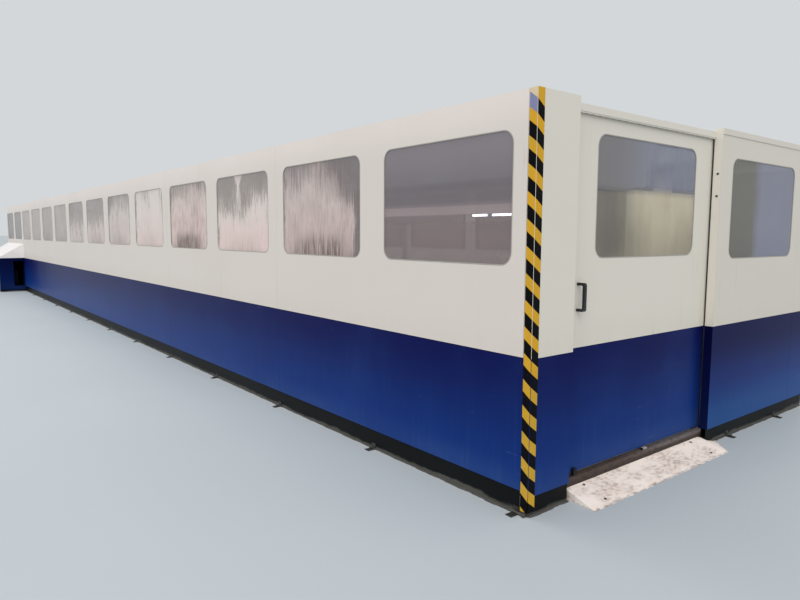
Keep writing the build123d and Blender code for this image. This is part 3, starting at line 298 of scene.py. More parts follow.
def lamp(name, kind, energy, place, aim, **settings):
    """A lamp that looks from its place towards its aim."""
    light = bpy.data.lights.new(name, kind)
    light.energy = energy
    for key, value in settings.items():
        setattr(light, key, value)
    made = bpy.data.objects.new(name, light)
    made.location = place
    made.rotation_euler = (Vector(aim) - Vector(place)).to_track_quat("-Z", "Y").to_euler()
    made.visible_camera = False
    bpy.context.scene.collection.objects.link(made)
    return made


lamp("hall_sun", "SUN", SUN, (9, -10, 14), (0, 0, 0), angle=math.radians(50))
soft_box = {"shape": "RECTANGLE", "size": 6.0, "size_y": 2.5}
for number in range(3):
    x = -8.0 + 8.0 * number
    lamp(f"soft_box_{number}", "AREA", SOFT_BOX, (x, -2.5, 8.5), (x, 0, 0), **soft_box)
lobby = {"shape": "RECTANGLE", "size": 1.6, "size_y": 0.3, "spread": math.radians(100)}
lamp("lobby_lamp", "AREA", LOBBY_LAMP, (10.0, 0.9, 2.36), (9.7, 0.9, 1.2), **lobby)
print("stage with", len(bpy.data.lights), "lamps")

# %% [markdown]
# ## Where things are
# Every place is read from the solids, so nothing is measured twice: the two long walls, the door
# end and the height where white meets blue. The windows' own sizes are written here once, and so
# are the edges of the doorway and the fixed panel, counted from the front plane.

# %% Places
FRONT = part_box("front_upper_panels")[0].y
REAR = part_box("rear_upper_panels")[1].y
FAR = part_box("front_upper_panels")[0].x
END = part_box("corner_casings_upper")[1].x
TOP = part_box("front_upper_panels")[1].z
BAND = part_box("front_upper_panels")[0].z
PITCH = 1.5
WINDOWS = 14
WINDOW_MIDDLE = 0.735
WINDOW_SILL = 1.435
WINDOW_SIZE = (1.206, 0.765)
WINDOW_CORNER = 0.08
PANE_LAP = 0.035
FIXED_PANEL = 2.08
DOORWAY = (0.377, 2.098)
print("row from", round(FAR, 3), "to", round(END, 3), "and from", round(FRONT, 3), "to", round(REAR, 3))

# %% [markdown]
# ## Painted sheet
# Powder coat has a very fine orange peel, and years in a hall leave a film of dust that gathers at
# the foot, faint streaks that ran down and small dark touches where hands and tools have been. Each
# is a mask from noise on the object's own coordinates, so it stays put when a piece moves.

# %% White and cream walls
def pale_paint(name, base, painted_top_light, dusty, stain):
    """Pale powder coat: broad cloudiness, down-streaks, a dusty foot, a top made lighter by painted light
    from above, and small marks.
    """
    made = finish(name)
    x, y, z = made.axes()
    broad = made.cloud(0.9, detail=2.0)
    streak = made.cloud(0.05, (1, 1, 14), detail=3.0, shift=3.0)
    speck = made.cloud(0.02, detail=2.0, shift=9.0)
    low = z.rise(BAND + 0.22, BAND)
    dust = (broad * 0.35 + low * 0.4 * streak).clip()
    marks = (streak - 0.62).rise(0.0, 0.14) * broad.rise(0.45, 0.75) * 0.35
    spots = speck.rise(0.76, 0.84) * 0.5
    # painted light: the coat turns lighter towards the top, as if lit from above
    tone = made.mix(dust, made.mix(z.rise(2.1, 2.4), base, painted_top_light), dusty)
    tone = made.mix((marks + spots).clip(), tone, stain)
    fixed_face = x.over(END - 0.002) * (y - FRONT).over(FIXED_PANEL)
    tone = made.mix(fixed_face * 0.6, tone, dusty)
    peel = made.cloud(0.004, detail=1.0)
    return surface(
        made,
        Base_Color=tone,
        Roughness=0.34 + dust * 0.25,
        Normal=made.relief(peel, 0.0002, 0.25),
        Specular_IOR_Level=0.45,
    )


# the white coat's second colour is its top, made lighter by painted light from above
WHITE = pale_paint("white_coat", colour("e2d8cf"), colour("efe3dc"), colour("d3cbbf"), colour("a59d90"))
CREAM = pale_paint("cream_coat", colour("e2dccf"), colour("e2dccf"), colour("d4cdc0"), colour("958e80"))
LID_WHITE = pale_paint("lid_white", colour("f2eeec"), colour("f2eeec"), colour("dedbd8"), colour("a09b96"))
print("pale coats", WHITE.name, CREAM.name, LID_WHITE.name)


# %% Blue walls
def blue_paint(name, base, floor_reflection, dusty, scuff):
    """Blue powder coat: paler towards the foot, a painted reflection of the floor mixed with random tone,
    with dust, wiped patches and thin level scratches. The return beside the door and the leaf's end next to
    it get painted shade, and the fixed panel runs from dark above, painted shade, to pale below, the painted
    floor reflection."""
    made = finish(name)
    x, y, z = made.axes()
    broad = made.cloud(0.7, detail=3.0, shift=5.0)
    wiped = made.cloud(0.22, (3, 3, 1), detail=4.0, shift=2.0)
    streak = made.cloud(0.03, (1, 1, 16), detail=2.0, shift=7.0)
    low = z.rise(0.95, 0.2)
    foot = z.rise(0.34, 0.12)
    dust = (foot * wiped * 0.34 + broad.rise(0.5, 0.8) * 0.05 + low * streak.rise(0.5, 0.8) * 0.08).clip()
    scratch = made.cloud(0.012, (18, 18, 1), detail=1.0, shift=4.0).rise(0.73, 0.78)
    lines = scratch * made.cloud(0.3, shift=8.0).rise(0.5, 0.62) * 0.3
    # painted reflection of the floor: the blue turns paler towards the foot, with random tone mixed in
    tone = made.mix((low * 0.8 + (broad - 0.5) * 0.4).clip(), base, floor_reflection)
    tone = made.mix(dust, tone, dusty)
    tone = made.mix(lines, tone, scuff)
    normal = made.node("ShaderNodeNewGeometry", out="Normal")
    sideways = made.node("ShaderNodeSeparateXYZ", values={0: normal}, out=1)
    # painted shade on the return beside the door and on the leaf's end next to it
    recess = x.over(END - 0.09) * y.over(FRONT + 1.0)
    return_face = (sideways * -1.0).rise(0.5, 0.9)
    beside_it = (y - FRONT).rise(1.95, FIXED_PANEL) * (END - 0.07 - x).over(0.0) * 0.5
    shaded = recess * (return_face + beside_it)
    tone = made.mix(shaded.clip() * 0.85, tone, colour("07062a"))
    # painted shade on the upper fixed panel, and a painted reflection of the floor on its foot
    fixed_face = x.over(END - 0.002) * (y - FRONT).over(FIXED_PANEL)
    tone = made.mix(fixed_face * z.rise(0.5, 0.85) * 0.85, tone, colour("020842"))
    tone = made.mix(fixed_face * z.rise(0.5, 0.2) * 0.3, tone, colour("2c66a0"))
    peel = made.cloud(0.004, detail=1.0)
    return surface(
        made,
        Base_Color=tone,
        Roughness=0.3 + dust * 0.35,
        Normal=made.relief(peel, 0.0002, 0.3),
        Specular_IOR_Level=0.05,
    )


BLUE = blue_paint("blue_coat", colour("0d1550"), colour("143982"), colour("4a6896"), colour("6b7aa0"))
CABINET_BLUE = blue_paint(
    "cabinet_blue", colour("040c34"), colour("071d54"), colour("2c3f66"), colour("4b587c"),
)
print("blue coats", BLUE.name, CABINET_BLUE.name)

# %% [markdown]
# ## Black base
# The channels at the floor are matt black, as is the tank in the low cabinet. Mopping water and
# sealant left a pale, uneven line along the floor, thickest near the corner.

# %% Base rails
def black_base(name):
    """Matt black with a pale splash line that climbs unevenly from the floor."""
    made = finish(name)
    z = made.axes()[2]
    lumps = made.cloud(0.06, (2, 2, 1), detail=5.0)
    broad = made.cloud(0.8, shift=4.0)
    line = (z - lumps * 0.05 * broad * 2.0).rise(0.01, -0.01)
    film = broad.rise(0.35, 0.8) * 0.2 + z.rise(0.15, 0.0) * 0.1
    tone = made.mix(film.clip(), colour("040506"), colour("1e2527"))
    tone = made.mix(line * 0.5, tone, colour("77766f"))
    return surface(
        made,
        Base_Color=tone,
        Roughness=0.5 + line * 0.3,
        Normal=made.relief(line + lumps * 0.3, 0.003, 0.5),
        Specular_IOR_Level=0.12,
    )


BASE_BLACK = black_base("base_black")
print("base", BASE_BLACK.name)


# %% [markdown]
# ## Window panes
# Behind each opening is a sheet of clear plastic. The nearest window is only filmed with haze, and
# is thinner low down and where the lamp behind it shines through; the next ones are fogged on the
# inside with oil mist and coolant that ran down in streaks. A colour ramp with hard steps works as
# a table: the window's number goes in, and its four channels give how high the fog reaches, as a
# share of the full reach, which side it leans away from, where one half is neither, how thick it is
# and how brown. The film covers the pane by its alpha. A ray goes through two faces, so each face
# carries its share.

# %% Panes of the long walls
FOG_REACH = 1.3
FOG_HEIGHT = (1.0, 1.0, 1.0, 1.0, 1.0, 1.0, 0.46, 0.50, 0.76, 0.95, 0.77, 0.53, 0.82, 0.0)
CLEAR_SIDE = (0.5, 0.5, 0.5, 0.5, 0.5, 0.5, 0.5, 0.48, 0.42, 0.46, 0.45, 0.47, 0.66, 0.5)
FOG_THICKNESS = (0.10, 0.12, 0.34, 0.32, 0.28, 0.30, 0.50, 0.52, 0.52, 0.68, 0.86, 0.88, 0.56, 0.0)
FOG_BROWN = (0.1, 0.1, 0.1, 0.1, 0.2, 0.1, 0.1, 0.2, 0.2, 0.1, 0.75, 0.14, 0.6, 0.0)


def window_table(made, index):
    """The four channels of the window with this number, counted from the far end."""
    looks = list(zip(FOG_HEIGHT, CLEAR_SIDE, FOG_THICKNESS, FOG_BROWN))
    stops = [(number / WINDOWS, look) for number, look in enumerate(looks)]
    place = (index + 0.5) / WINDOWS
    ramp = made.node("ShaderNodeValToRGB", {"stops": stops}, {0: place})
    split = made.node("ShaderNodeSeparateColor", values={0: ramp}).socket.node
    brown = Wire(made, ramp.socket.node.outputs["Alpha"])
    return [Wire(made, split.outputs[channel]) for channel in range(3)] + [brown]


def each_face(cover):
    """The cover on one face that gives this cover through both."""
    return 1.0 - (1.0 - cover) ** 0.5


def fog_cover(across, height, looks, noises, run_down):
    """Fog below a ragged, leaning upper edge and inside the side margins, and one run down the
    middle of the window where run_down is 1."""
    reach, side, thick = looks
    streak, fine, broad = noises
    ragged = (streak - 0.5) * 0.7 + (fine - 0.5) * 0.5 + (broad - 0.5) * 0.5
    lean = ((side - 0.5) * across).most(0.0)
    below = (reach * FOG_REACH - lean * 3.0 + ragged - height).rise(-0.32, 0.46)
    inside = (1.05 + (broad - 0.5) * 0.3 + (streak - 0.5) * 0.3 - across.size() - lean).rise(-0.05, 0.14)
    density = (0.9 + (broad - 0.5) * 0.6 + (streak - 0.5) * 0.7 + (fine - 0.5) * 0.6).clip()
    run = ((across + 0.1 + (fine - 0.5) * 0.15).size() - (height - 0.85).most(0.0) * 0.8).rise(0.1, 0.0)
    drip = run * height.rise(0.5, 0.85) * run_down * 0.5
    return ((below * inside * density + drip) * thick).clip()


def nearest_view(made, height):
    """The haze of the nearest window: a light band of painted glow from the lamp behind it, a dark belt over
    it and a lilac upper part.
    """
    # painted light: the light band is the glow of the lamp behind the pane
    band = height.rise(0.385, 0.4) * height.rise(0.47, 0.455)
    lower = made.mix(band * 0.95, colour("87797a"), colour("ac9c9c"))
    view = made.mix(height.rise(0.2, 0.8), lower, colour("887f84"))
    belt = height.rise(0.47, 0.5) * height.rise(0.95, 0.6)
    return made.mix(belt * 0.6, view, colour("6f6a6e"))


def pane_finish(name):
    """Fogged plastic for the panes of the two long walls and of the panel beside the door."""
    made = finish(name)
    x, y, z = made.axes()
    place = (x - FAR) / PITCH
    index = place.floor()
    rear = y.over(0.0)
    number = index + rear * (WINDOWS - 1.0 - 2.0 * index)
    reach, side, thick, brown = window_table(made, number)
    beyond = x.over(END - 0.06)
    nearest = number.over(WINDOWS - 1.5) * (1.0 - beyond)
    across = ((place - index) * PITCH - WINDOW_MIDDLE) / (WINDOW_SIZE[0] / 2)
    height = (z - WINDOW_SILL) / WINDOW_SIZE[1]
    streak = made.cloud(0.013, (1, 1, 24), detail=4.0, rough=0.65)
    fine = made.cloud(0.02, (1, 1, 7), detail=4.0, shift=2.0, rough=0.7)
    broad = made.cloud(0.2, (1, 1, 1.5), detail=3.0, shift=6.0)
    wide = made.cloud(0.5, detail=2.0, shift=9.0)
    third = number.over(WINDOWS - 3.5) * (1.0 - number.over(WINDOWS - 2.5))
    fog = fog_cover(across, height, (reach, side, thick), (streak, fine, broad), third) * (1.0 - beyond)
    low_fog = fog * height.rise(0.7, 0.1)
    foot = height.rise(0.32, 0.02) * streak.rise(0.35, 0.6) * across.size().rise(0.95, 0.3)
    drips = streak.rise(0.54, 0.68) * broad.rise(0.42, 0.6) * fog.rise(0.05, 0.4)
    grain = (fine - 0.5) * 2.2 + (wide - 0.5) * 0.8
    stained = brown * (0.34 + grain + foot * 1.9) + drips * (0.1 + brown * 0.4)
    dim = number.over(WINDOWS - 2.5) + (1.5 - number).over(0.0)
    veil = made.mix(dim, colour("9e928a"), colour("847a7a"))
    veil = made.mix(nearest, veil, nearest_view(made, height))
    lilac = (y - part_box("fixed_end_panel_upper")[0].y + (broad - 0.5) * 0.15).rise(0.55, 0.71)
    veil = made.mix(beyond, veil, made.mix(lilac, colour("757369"), colour("8d8fa2")))
    cream = made.mix((low_fog + brown * 0.8).clip(), colour("ebe0d9"), colour("ecd2ca"))
    film = made.mix(fog.rise(0.0, 0.75), veil, cream)
    film = made.mix(stained.clip() * (1.0 - beyond), film, colour("78655d"))
    # painted shade: the film darkens along the pane's border, next to the seal
    edge = (across.size().rise(0.9, 1.0) + height.rise(0.08, 0.0) + height.rise(0.92, 1.0)).clip()
    film = made.mix(edge * (1.0 - beyond) * 0.15, film, colour("6a6561"))
    slot = height.rise(0.33, 0.345) * height.rise(0.4, 0.385) * across.rise(0.2, 0.3) * nearest
    open_part = slot * 0.12 + nearest * (height.rise(0.42, 0.3) * 0.1 - 0.02)
    cover = 0.94 + (wide - 0.5) * 0.1 + fog * 0.15 - open_part - beyond * 0.03
    return surface(
        made,
        Base_Color=film,
        Roughness=0.16 + fog * 0.3,
        Alpha=each_face(cover.clip()),
    )


PANES = pane_finish("fogged_panes")
print("panes", PANES.name, "with looks for", len(FOG_HEIGHT), "windows")


# %% Pane of the door
def door_pane_finish(name):
    """The door's pane: a light lavender haze, browner and denser on the side of the handle. Away from the
    handle it is painted beige low down, for the lit cabinet behind it, and bluish high up, for light from
    behind.
    """
    made = finish(name)
    y, z = made.axes()[1:]
    low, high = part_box("door_pane")
    across = (y - low.y) / (high.y - low.y)
    broad = made.cloud(0.3, (1, 1, 2), detail=3.0)
    wipe = made.cloud(0.05, (1, 1, 6), detail=3.0, shift=5.0)
    handle_side = across.rise(0.6, 0.1)
    upper = z.rise(1.86, 1.95)
    even = 0.38 + handle_side * 0.42 + upper * 0.58
    haze = (even + (broad - 0.5) * 0.3 + (wipe - 0.5) * 0.14).clip()
    # painted light: away from the handle, the low haze takes the beige of the lit cabinet behind
    beige = made.mix(handle_side, colour("87826c"), colour("686360"))
    # painted light: the upper haze turns bluish to the right, with light from behind the pane
    film = made.mix(upper, beige, made.mix(across.rise(0.1, 0.7), colour("7b7778"), colour("868999")))
    return surface(
        made,
        Base_Color=film,
        Roughness=0.12 + wipe * 0.1,
        Alpha=each_face(haze),
    )


DOOR_PANE = door_pane_finish("door_pane_film")
print("door pane", DOOR_PANE.name)

# %% [markdown]
# ## Hazard tape
# Two strips of striped tape meet at the corner. The yellow is greasy and dull low down, where the
# door traffic is, and each strip has a painted highlight in one band near the top, lavender on the black.

# %% Tape
TAPE_GLARE = 0.03


def tape_finish(name, base, dull, rim, glare, glare_start):
    """Tape with a rubbed, dusty face: dulled with height, specked, and with a painted highlight in one band.
    """
    made = finish(name)
    y, z = made.axes()[1:]
    speck = made.cloud(0.012, detail=4.0)
    wear = made.cloud(0.07, (1, 1, 2.5), detail=4.0, shift=3.0)
    low = z.rise(1.1, 0.5)
    dulled = (wear.rise(0.4, 0.75) * 0.35 + low * 0.4).clip()
    scuff = speck.rise(0.66, 0.74) * (0.2 + low * 0.35)
    tone = made.mix(dulled, base, dull)
    tone = made.mix(scuff.clip(), tone, rim)
    # painted highlight: a band of glare across the front of the tape near its top
    band = z.rise(glare_start, glare_start + TAPE_GLARE) * (FRONT + 0.0001 - y).over(0.0)
    tone = made.mix(band * (0.75 + (wear - 0.5) * 0.6), tone, glare)
    return surface(
        made,
        Base_Color=tone,
        Roughness=0.4 + dulled * 0.3,
        Normal=made.relief(wear, 0.0006, 0.3),
        Specular_IOR_Level=0.08,
    )


TAPE_BLACK = tape_finish(
    "tape_black_vinyl", colour("030206"), colour("0c0b10"), colour("3a393f"), colour("9a9cc4"), 2.22,
)
TAPE_YELLOW = tape_finish(
    "tape_yellow_vinyl", colour("dba62a"), colour("b99c3c"), colour("e9dfb4"), colour("e4d6bb"), 2.33,
)
print("tape", TAPE_BLACK.name, TAPE_YELLOW.name)


# %% [markdown]
# ## Plain metals and paints of the machine
# Inside, most pieces are machine paint, cast iron or ground steel. One function each for paint and
# bare metal is enough: paint gets dust on what faces up and grime in streaks; metal gets a fine
# grain along one axis, a patchy oil film and dull spots.

# %% Machine paint and bare metal
def machine_paint(name, base, grime, roughness=0.45, dust=colour("b5b3ab")):
    """Thick machine paint: dust on upward faces, grime in lumps, a slight texture."""
    made = finish(name)
    normal = made.node("ShaderNodeNewGeometry", out="Normal")
    facing = made.node("ShaderNodeSeparateXYZ", values={0: normal}, out=2)
    lumps = made.cloud(0.35, detail=5.0)
    fine = made.cloud(0.03, detail=3.0, shift=2.0)
    runs = made.cloud(0.03, (1, 1, 12), detail=3.0, shift=6.0).rise(0.55, 0.75)
    dirty = (lumps.rise(0.42, 0.75) * 0.7 + fine.rise(0.6, 0.85) * 0.25 + runs * lumps * 0.5).clip()
    lying = facing.rise(0.5, 0.95) * (0.25 + lumps * 0.3)
    tone = made.mix(dirty, base, grime)
    tone = made.mix(lying, tone, dust)
    return surface(
        made,
        Base_Color=tone,
        Roughness=roughness + lying * 0.3,
        Normal=made.relief(made.cloud(0.006, detail=2.0), 0.0005, 0.4),
    )


def bare_metal(name, base, dark, roughness=0.32, grain=(20, 1, 1)):
    """Ground or rolled metal: a fine grain along an axis under a patchy film of oil."""
    made = finish(name)
    lines = made.cloud(0.004, grain, detail=2.0)
    film = made.cloud(0.12, detail=4.0, shift=5.0)
    tone = made.mix((film.rise(0.35, 0.75) * 0.7 + (lines - 0.5) * 0.3).clip(), base, dark)
    return surface(
        made,
        Base_Color=tone,
        Metallic=0.9,
        Roughness=roughness + film * 0.2 + (lines - 0.5) * 0.15,
        Normal=made.relief(lines, 0.0003, 0.3),
    )


MACHINE = machine_paint("machine_grey", colour("c9cac3"), colour("a9a99f"))
CASTING = machine_paint("casting_grey", colour("626b73"), colour("474d52"), 0.55, colour("8b8b84"))
FRAME_GREY = machine_paint("frame_grey", colour("a3a7a8"), colour("85898a"), 0.5)
BEIGE = machine_paint("cabinet_beige", colour("bdb6a3"), colour("aaa390"), 0.5, colour("c9c4b4"))
MOTOR = machine_paint("motor_black", colour("2a2b2f"), colour("1d1e20"), 0.4, colour("6d6b66"))
DRIVES = machine_paint("drive_grey", colour("6f7478"), colour("53575a"), 0.5)
STEEL = bare_metal("ground_steel", colour("c8c8c6"), colour("8c8a85"))
TABLE_IRON = bare_metal("table_iron", colour("8f9091"), colour("747370"), 0.4)
ZINC = bare_metal("zinc_sheet", colour("b5b9ba"), colour("8b8e8e"), 0.42)
ANCHOR = bare_metal("anchor_zinc", colour("5b5a57"), colour("34322f"), 0.5, (1, 1, 1))
print("metals and paints", len(bpy.data.materials))


# %% [markdown]
# ## Sill, ramp and small finishes
# Feet rub the sill bright along its edge and smudge the ramp, so both get masks along the doorway or
# by height. Rubber, plastic and bristle share one function, because only their colour and shine
# differ. The lamp's diffuser is the one surface that gives light.

# %% Small finishes
LATCH_PLATE = (1.285, 1.34)
SILL_TOP = 0.119


def worn_sill(name):
    """The sill: rubbed brown steel, bright on its worn edge, with painted shade along its lower part."""
    made = finish(name)
    y, z = made.axes()[1:]
    rub = made.cloud(0.05, (1, 8, 1), detail=4.0)
    rust = made.cloud(0.02, (1, 3, 1), detail=5.0, shift=3.0)
    along = y - FRONT
    bright = along.rise(0.9, 1.7) * z.rise(0.085, 0.1)
    start, end = LATCH_PLATE
    plate = along.rise(start, start + 0.005) * along.rise(end, end - 0.005) * z.over(SILL_TOP)
    block = z.over(SILL_TOP) * (1.0 - plate)
    low = z.rise(0.1, 0.07)
    tone = made.mix(rub, colour("43352f"), colour("5f5049"))
    tone = made.mix(bright * 0.8, tone, colour("77706f"))
    tone = made.mix(rust.rise(0.5, 0.7) * 0.6, tone, colour("39271f"))
    # painted shade: a dark band along the sill's lower part, by the ramp
    tone = made.mix(low * 0.6, tone, colour("241e1c"))
    tone = made.mix(block, tone, colour("141416"))
    tone = made.mix(plate, tone, colour("a9a6a2"))
    return surface(
        made, Base_Color=tone, Metallic=0.35, Roughness=0.5 + rust * 0.3,
        Normal=made.relief(rust, 0.001, 0.4),
    )


def moulded(name, base, dust, roughness=0.42):
    """Moulded plastic or rubber with a fine grain and a little dust."""
    made = finish(name)
    grain = made.cloud(0.0025, detail=2.0)
    film = made.cloud(0.08, detail=4.0, shift=2.0)
    tone = made.mix(film.rise(0.45, 0.8) * 0.35, base, dust)
    return surface(
        made, Base_Color=tone, Roughness=roughness + film * 0.15,
        Normal=made.relief(grain, 0.0003, 0.4),
    )


def ramp_finish(name):
    """The ramp's plate: beige, smudged grey by boots, darker along its foot."""
    made = finish(name)
    z = made.axes()[2]
    smudge = made.cloud(0.12, (1, 1.8, 1), detail=5.0)
    fine = made.cloud(0.018, (1, 2.5, 1), detail=4.0, shift=5.0)
    foot = z.rise(0.006, 0.001) * fine.rise(0.3, 0.6)
    tone = made.mix(smudge.rise(0.35, 0.75), colour("fff2e7"), colour("eddccf"))
    tone = made.mix(fine.rise(0.4, 0.7) * smudge.rise(0.36, 0.58) * 0.65, tone, colour("a3948a"))
    tone = made.mix(foot * 0.5, tone, colour("4a423c"))
    return surface(
        made, Base_Color=tone, Roughness=0.5 + fine * 0.2,
        Normal=made.relief(smudge + fine * 0.3, 0.003, 0.5),
    )


SILL = worn_sill("worn_sill")
RUBBER = moulded("seal_rubber", colour("a39e97"), colour("b9b4ac"), 0.55)
# painted shade: the brush's pale colour sets how light the shaded gap under the header's lip looks
SHADE_LINE_BRUSH = moulded("shade_line_brush", colour("efeade"), colour("dcd6ca"), 0.6)
HANDLE = moulded("handle_black", colour("17171a"), colour("4a4a4c"))
CHAIN = moulded("chain_black", colour("1a1b1d"), colour("45474a"), 0.45)
RED = moulded("button_red", colour("b3161a"), colour("c25450"), 0.25)
RAMP = ramp_finish("ramp_beige")
screen = finish("screen_dark")
SCREEN = surface(
    screen,
    Base_Color=screen.mix(screen.cloud(0.05, detail=3.0).rise(0.4, 0.8), colour("0b0d12"), colour("1a1d22")),
    Roughness=0.12, Coat_Weight=0.5,
)
diffuser = finish("lamp_diffuser")
glow = diffuser.cloud(0.3, (6, 1, 1), detail=2.0)
LAMP = surface(
    diffuser,
    Base_Color=colour("f2f4f6"),
    Roughness=0.4,
    Emission_Color=diffuser.mix(glow, colour("f4f7ff"), colour("dfe6f2")),
    Emission_Strength=9.0,
)
print("finishes in all", len(bpy.data.materials))

# %% [markdown]
# ## Dressing the solids
# Each solid gets its finish in its own material slot; its mesh stays as it is.

# %% Finishes of the solids
DRESS = {
    WHITE: ("front_upper_panels", "rear_upper_panels"),
    LID_WHITE: ("side_cabinet_cover",),
    CREAM: ("corner_casings_upper", "door_leaf_upper", "fixed_end_panel_upper", "door_header"),
    BLUE: ("front_lower_panels", "rear_lower_panels", "corner_casings_lower", "door_leaf_lower",
           "fixed_end_panel_lower"),
    CABINET_BLUE: ("side_cabinet_body",),
    BASE_BLACK: ("base_rails", "coolant_tank"),
    PANES: ("window_panes",),
    DOOR_PANE: ("door_pane",),
    TAPE_BLACK: ("tape_black",),
    TAPE_YELLOW: ("tape_yellow",),
    MACHINE: ("carriage", "column", "head", "magazine_disc", "magazine_stand"),
    CASTING: ("bed", "table_pedestals"),
    BEIGE: ("control_cabinet", "cabinet_door_1", "cabinet_door_2", "operator_console"),
    MOTOR: ("axis_motors", "spindle_motor"),
    DRIVES: ("drive_modules",),
    STEEL: ("bearing_blocks", "bed_rails", "column_rails", "door_hangers", "door_roller_1",
            "door_roller_2", "drive_pinion", "lift_screw", "magazine_tools", "milling_cutter",
            "ram", "spindle"),
    TABLE_IRON: ("work_table",),
    ZINC: ("chain_tray", "chip_flume"),
    ANCHOR: ("floor_anchors",),
    SILL: ("door_sill",),
    RAMP: ("ramp",),
    HANDLE: ("door_handle", "cabinet_latch_1", "cabinet_latch_2"),
    CHAIN: ("energy_chain",),
    RED: ("stop_button",),
    SCREEN: ("console_screen",),
    FRAME_GREY: ("frame_tubes", "door_track", "light_fittings"),
}
dressed = set()
for material, nodes in DRESS.items():
    for node in nodes:
        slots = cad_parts[node].data.materials
        slots.clear()
        slots.append(material)
        dressed.add(node)
print("dressed", len(dressed), "solids; bare:", sorted(set(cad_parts) - dressed))

# %% [markdown]
# ## Surfaces from arrays
# What the solids leave out is made here as closed skins. A skin is a grid of points: its columns
# run round a section and its rows follow a path or an axis, so one formula on whole arrays gives
# every corner at once. Faces join neighbours on the grid; a loop closes on itself, any other skin
# gets a lid at each end. One object holds all like skins of one body.

# %% Grids into objects
def skin(points, loop=False):
    """Corners, four-cornered faces and lids of a grid of points, rows by columns by 3."""
    rows, columns = points.shape[:2]
    row = np.arange(rows if loop else rows - 1)[:, None]
    column = np.arange(columns)[None, :]
    below, beside = (row + 1) % rows, (column + 1) % columns
    here, there = row * columns, below * columns
    corner = [here + column, here + beside, there + beside, there + column]
    faces = np.stack([np.broadcast_to(c, (len(row), columns)) for c in corner], axis=-1).reshape(-1, 4)
    lids = [] if loop else [np.arange(columns), np.arange(columns) + (rows - 1) * columns]
    return points.reshape(-1, 3), faces, lids


def copies(shape, places):
    """The same skin moved to each of these places."""
    return [(shape[0] + place, shape[1], shape[2]) for place in np.atleast_2d(places)]


def piece(name, skins, material, body, sharp=35):
    """One object of closed skins: faces turned outwards, smooth below a sharp angle, riding on a body."""
    starts = np.cumsum([0] + [len(points) for points, faces, lids in skins])
    points = np.concatenate([s[0] for s in skins])
    faces = np.concatenate([s[1] + start for s, start in zip(skins, starts)]).tolist()
    faces += [(lid + start).tolist() for s, start in zip(skins, starts) for lid in s[2]]
    mesh = bpy.data.meshes.new(name)
    mesh.from_pydata(points.tolist(), [], faces)
    work = bmesh.new()
    work.from_mesh(mesh)
    bmesh.ops.recalc_face_normals(work, faces=work.faces)
    work.to_mesh(mesh)
    work.free()
    mesh.shade_smooth()
    mesh.set_sharp_from_angle(angle=math.radians(sharp))
    mesh.materials.append(material)
    made = bpy.data.objects.new(name, mesh)
    bpy.context.scene.collection.objects.link(made)
    if body:
        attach(made, body)
    print(name, "with", len(faces), "faces on", body)
    return made


def ring(width, height, steps=12, power=2.0):
    """A closed section: |x| and |y| are half sizes times the cosine and sine to the power 2/p."""
    turn = np.arange(steps) * 2 * np.pi / steps
    wave = np.stack([np.cos(turn), np.sin(turn)], axis=-1)
    return np.sign(wave) * np.abs(wave) ** (2 / power) * np.array([width, height]) / 2


def turned(stations, centre, axis, steps=24, power=2.0):
    """A section ring carried along an axis: each station is (distance along it, radius)."""
    stations = np.asarray(stations, float)
    axis = np.asarray(axis, float) / np.linalg.norm(axis)
    helper = np.array([0.0, 0.0, 1.0]) if abs(axis[2]) < 0.9 else np.array([1.0, 0.0, 0.0])
    first = np.cross(helper, axis)
    first /= np.linalg.norm(first)
    second = np.cross(axis, first)
    section = ring(2, 2, steps, power)
    radial = section[:, :1] * first + section[:, 1:] * second
    return skin(
        np.asarray(centre) + stations[:, None, :1] * axis + stations[:, None, 1:] * radial[None]
    )


def beam(section, ends, axis):
    """A straight bar: a section carried from end to end along one axis. The section's two columns
    are places along the other two axes, in their order."""
    points = np.empty((2, len(section), 3))
    points[..., axis] = np.reshape(ends, (2, 1))
    points[..., [other for other in range(3) if other != axis]] = section
    return skin(points)


def islands(node):
    """The boxes of a solid's separate bodies. Corners at one place share a number, and every
    triangle hands its lowest number to its corners until no number changes."""
    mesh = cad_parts[node].data
    points = np.empty(len(mesh.vertices) * 3, np.float32)
    mesh.vertices.foreach_get("co", points)
    places, number = np.unique(points.reshape(-1, 3).round(5), axis=0, return_inverse=True)
    corners = np.empty(len(mesh.loops), np.int32)
    mesh.loops.foreach_get("vertex_index", corners)
    triangles = number.ravel()[corners].reshape(-1, 3)
    group = np.arange(len(places))
    before = None
    while before is None or (group != before).any():
        before = group.copy()
        lowest = group[triangles].min(axis=1)
        np.minimum.at(group, triangles, np.repeat(lowest[:, None], 3, axis=1))
    return [
        (places[group == g].min(axis=0).astype(float), places[group == g].max(axis=0).astype(float))
        for g in np.unique(group)
    ]


def ripple(along, size, seed):
    """Smooth unevenness between -1 and 1: three sines whose lengths share no common measure."""
    turn = 2 * np.pi * np.asarray(along) / size
    long_waves = np.sin(turn + seed) + 0.6 * np.sin(2.31 * turn + 2.1 * seed)
    return (long_waves + 0.4 * np.sin(5.17 * turn + 3.3 * seed)) / 2


print("arrays ready; panes found:", len(islands("window_panes")))

# %% [markdown]
# ## Window seals
# A rubber bead closes the gap between the sheet's cut edge and the pane. Its path is a rounded
# rectangle: four quarter circles, each about its own corner centre, whose ends join in straight
# runs. Every pane's box gives one opening, so the beads fit all thirty windows without a list.

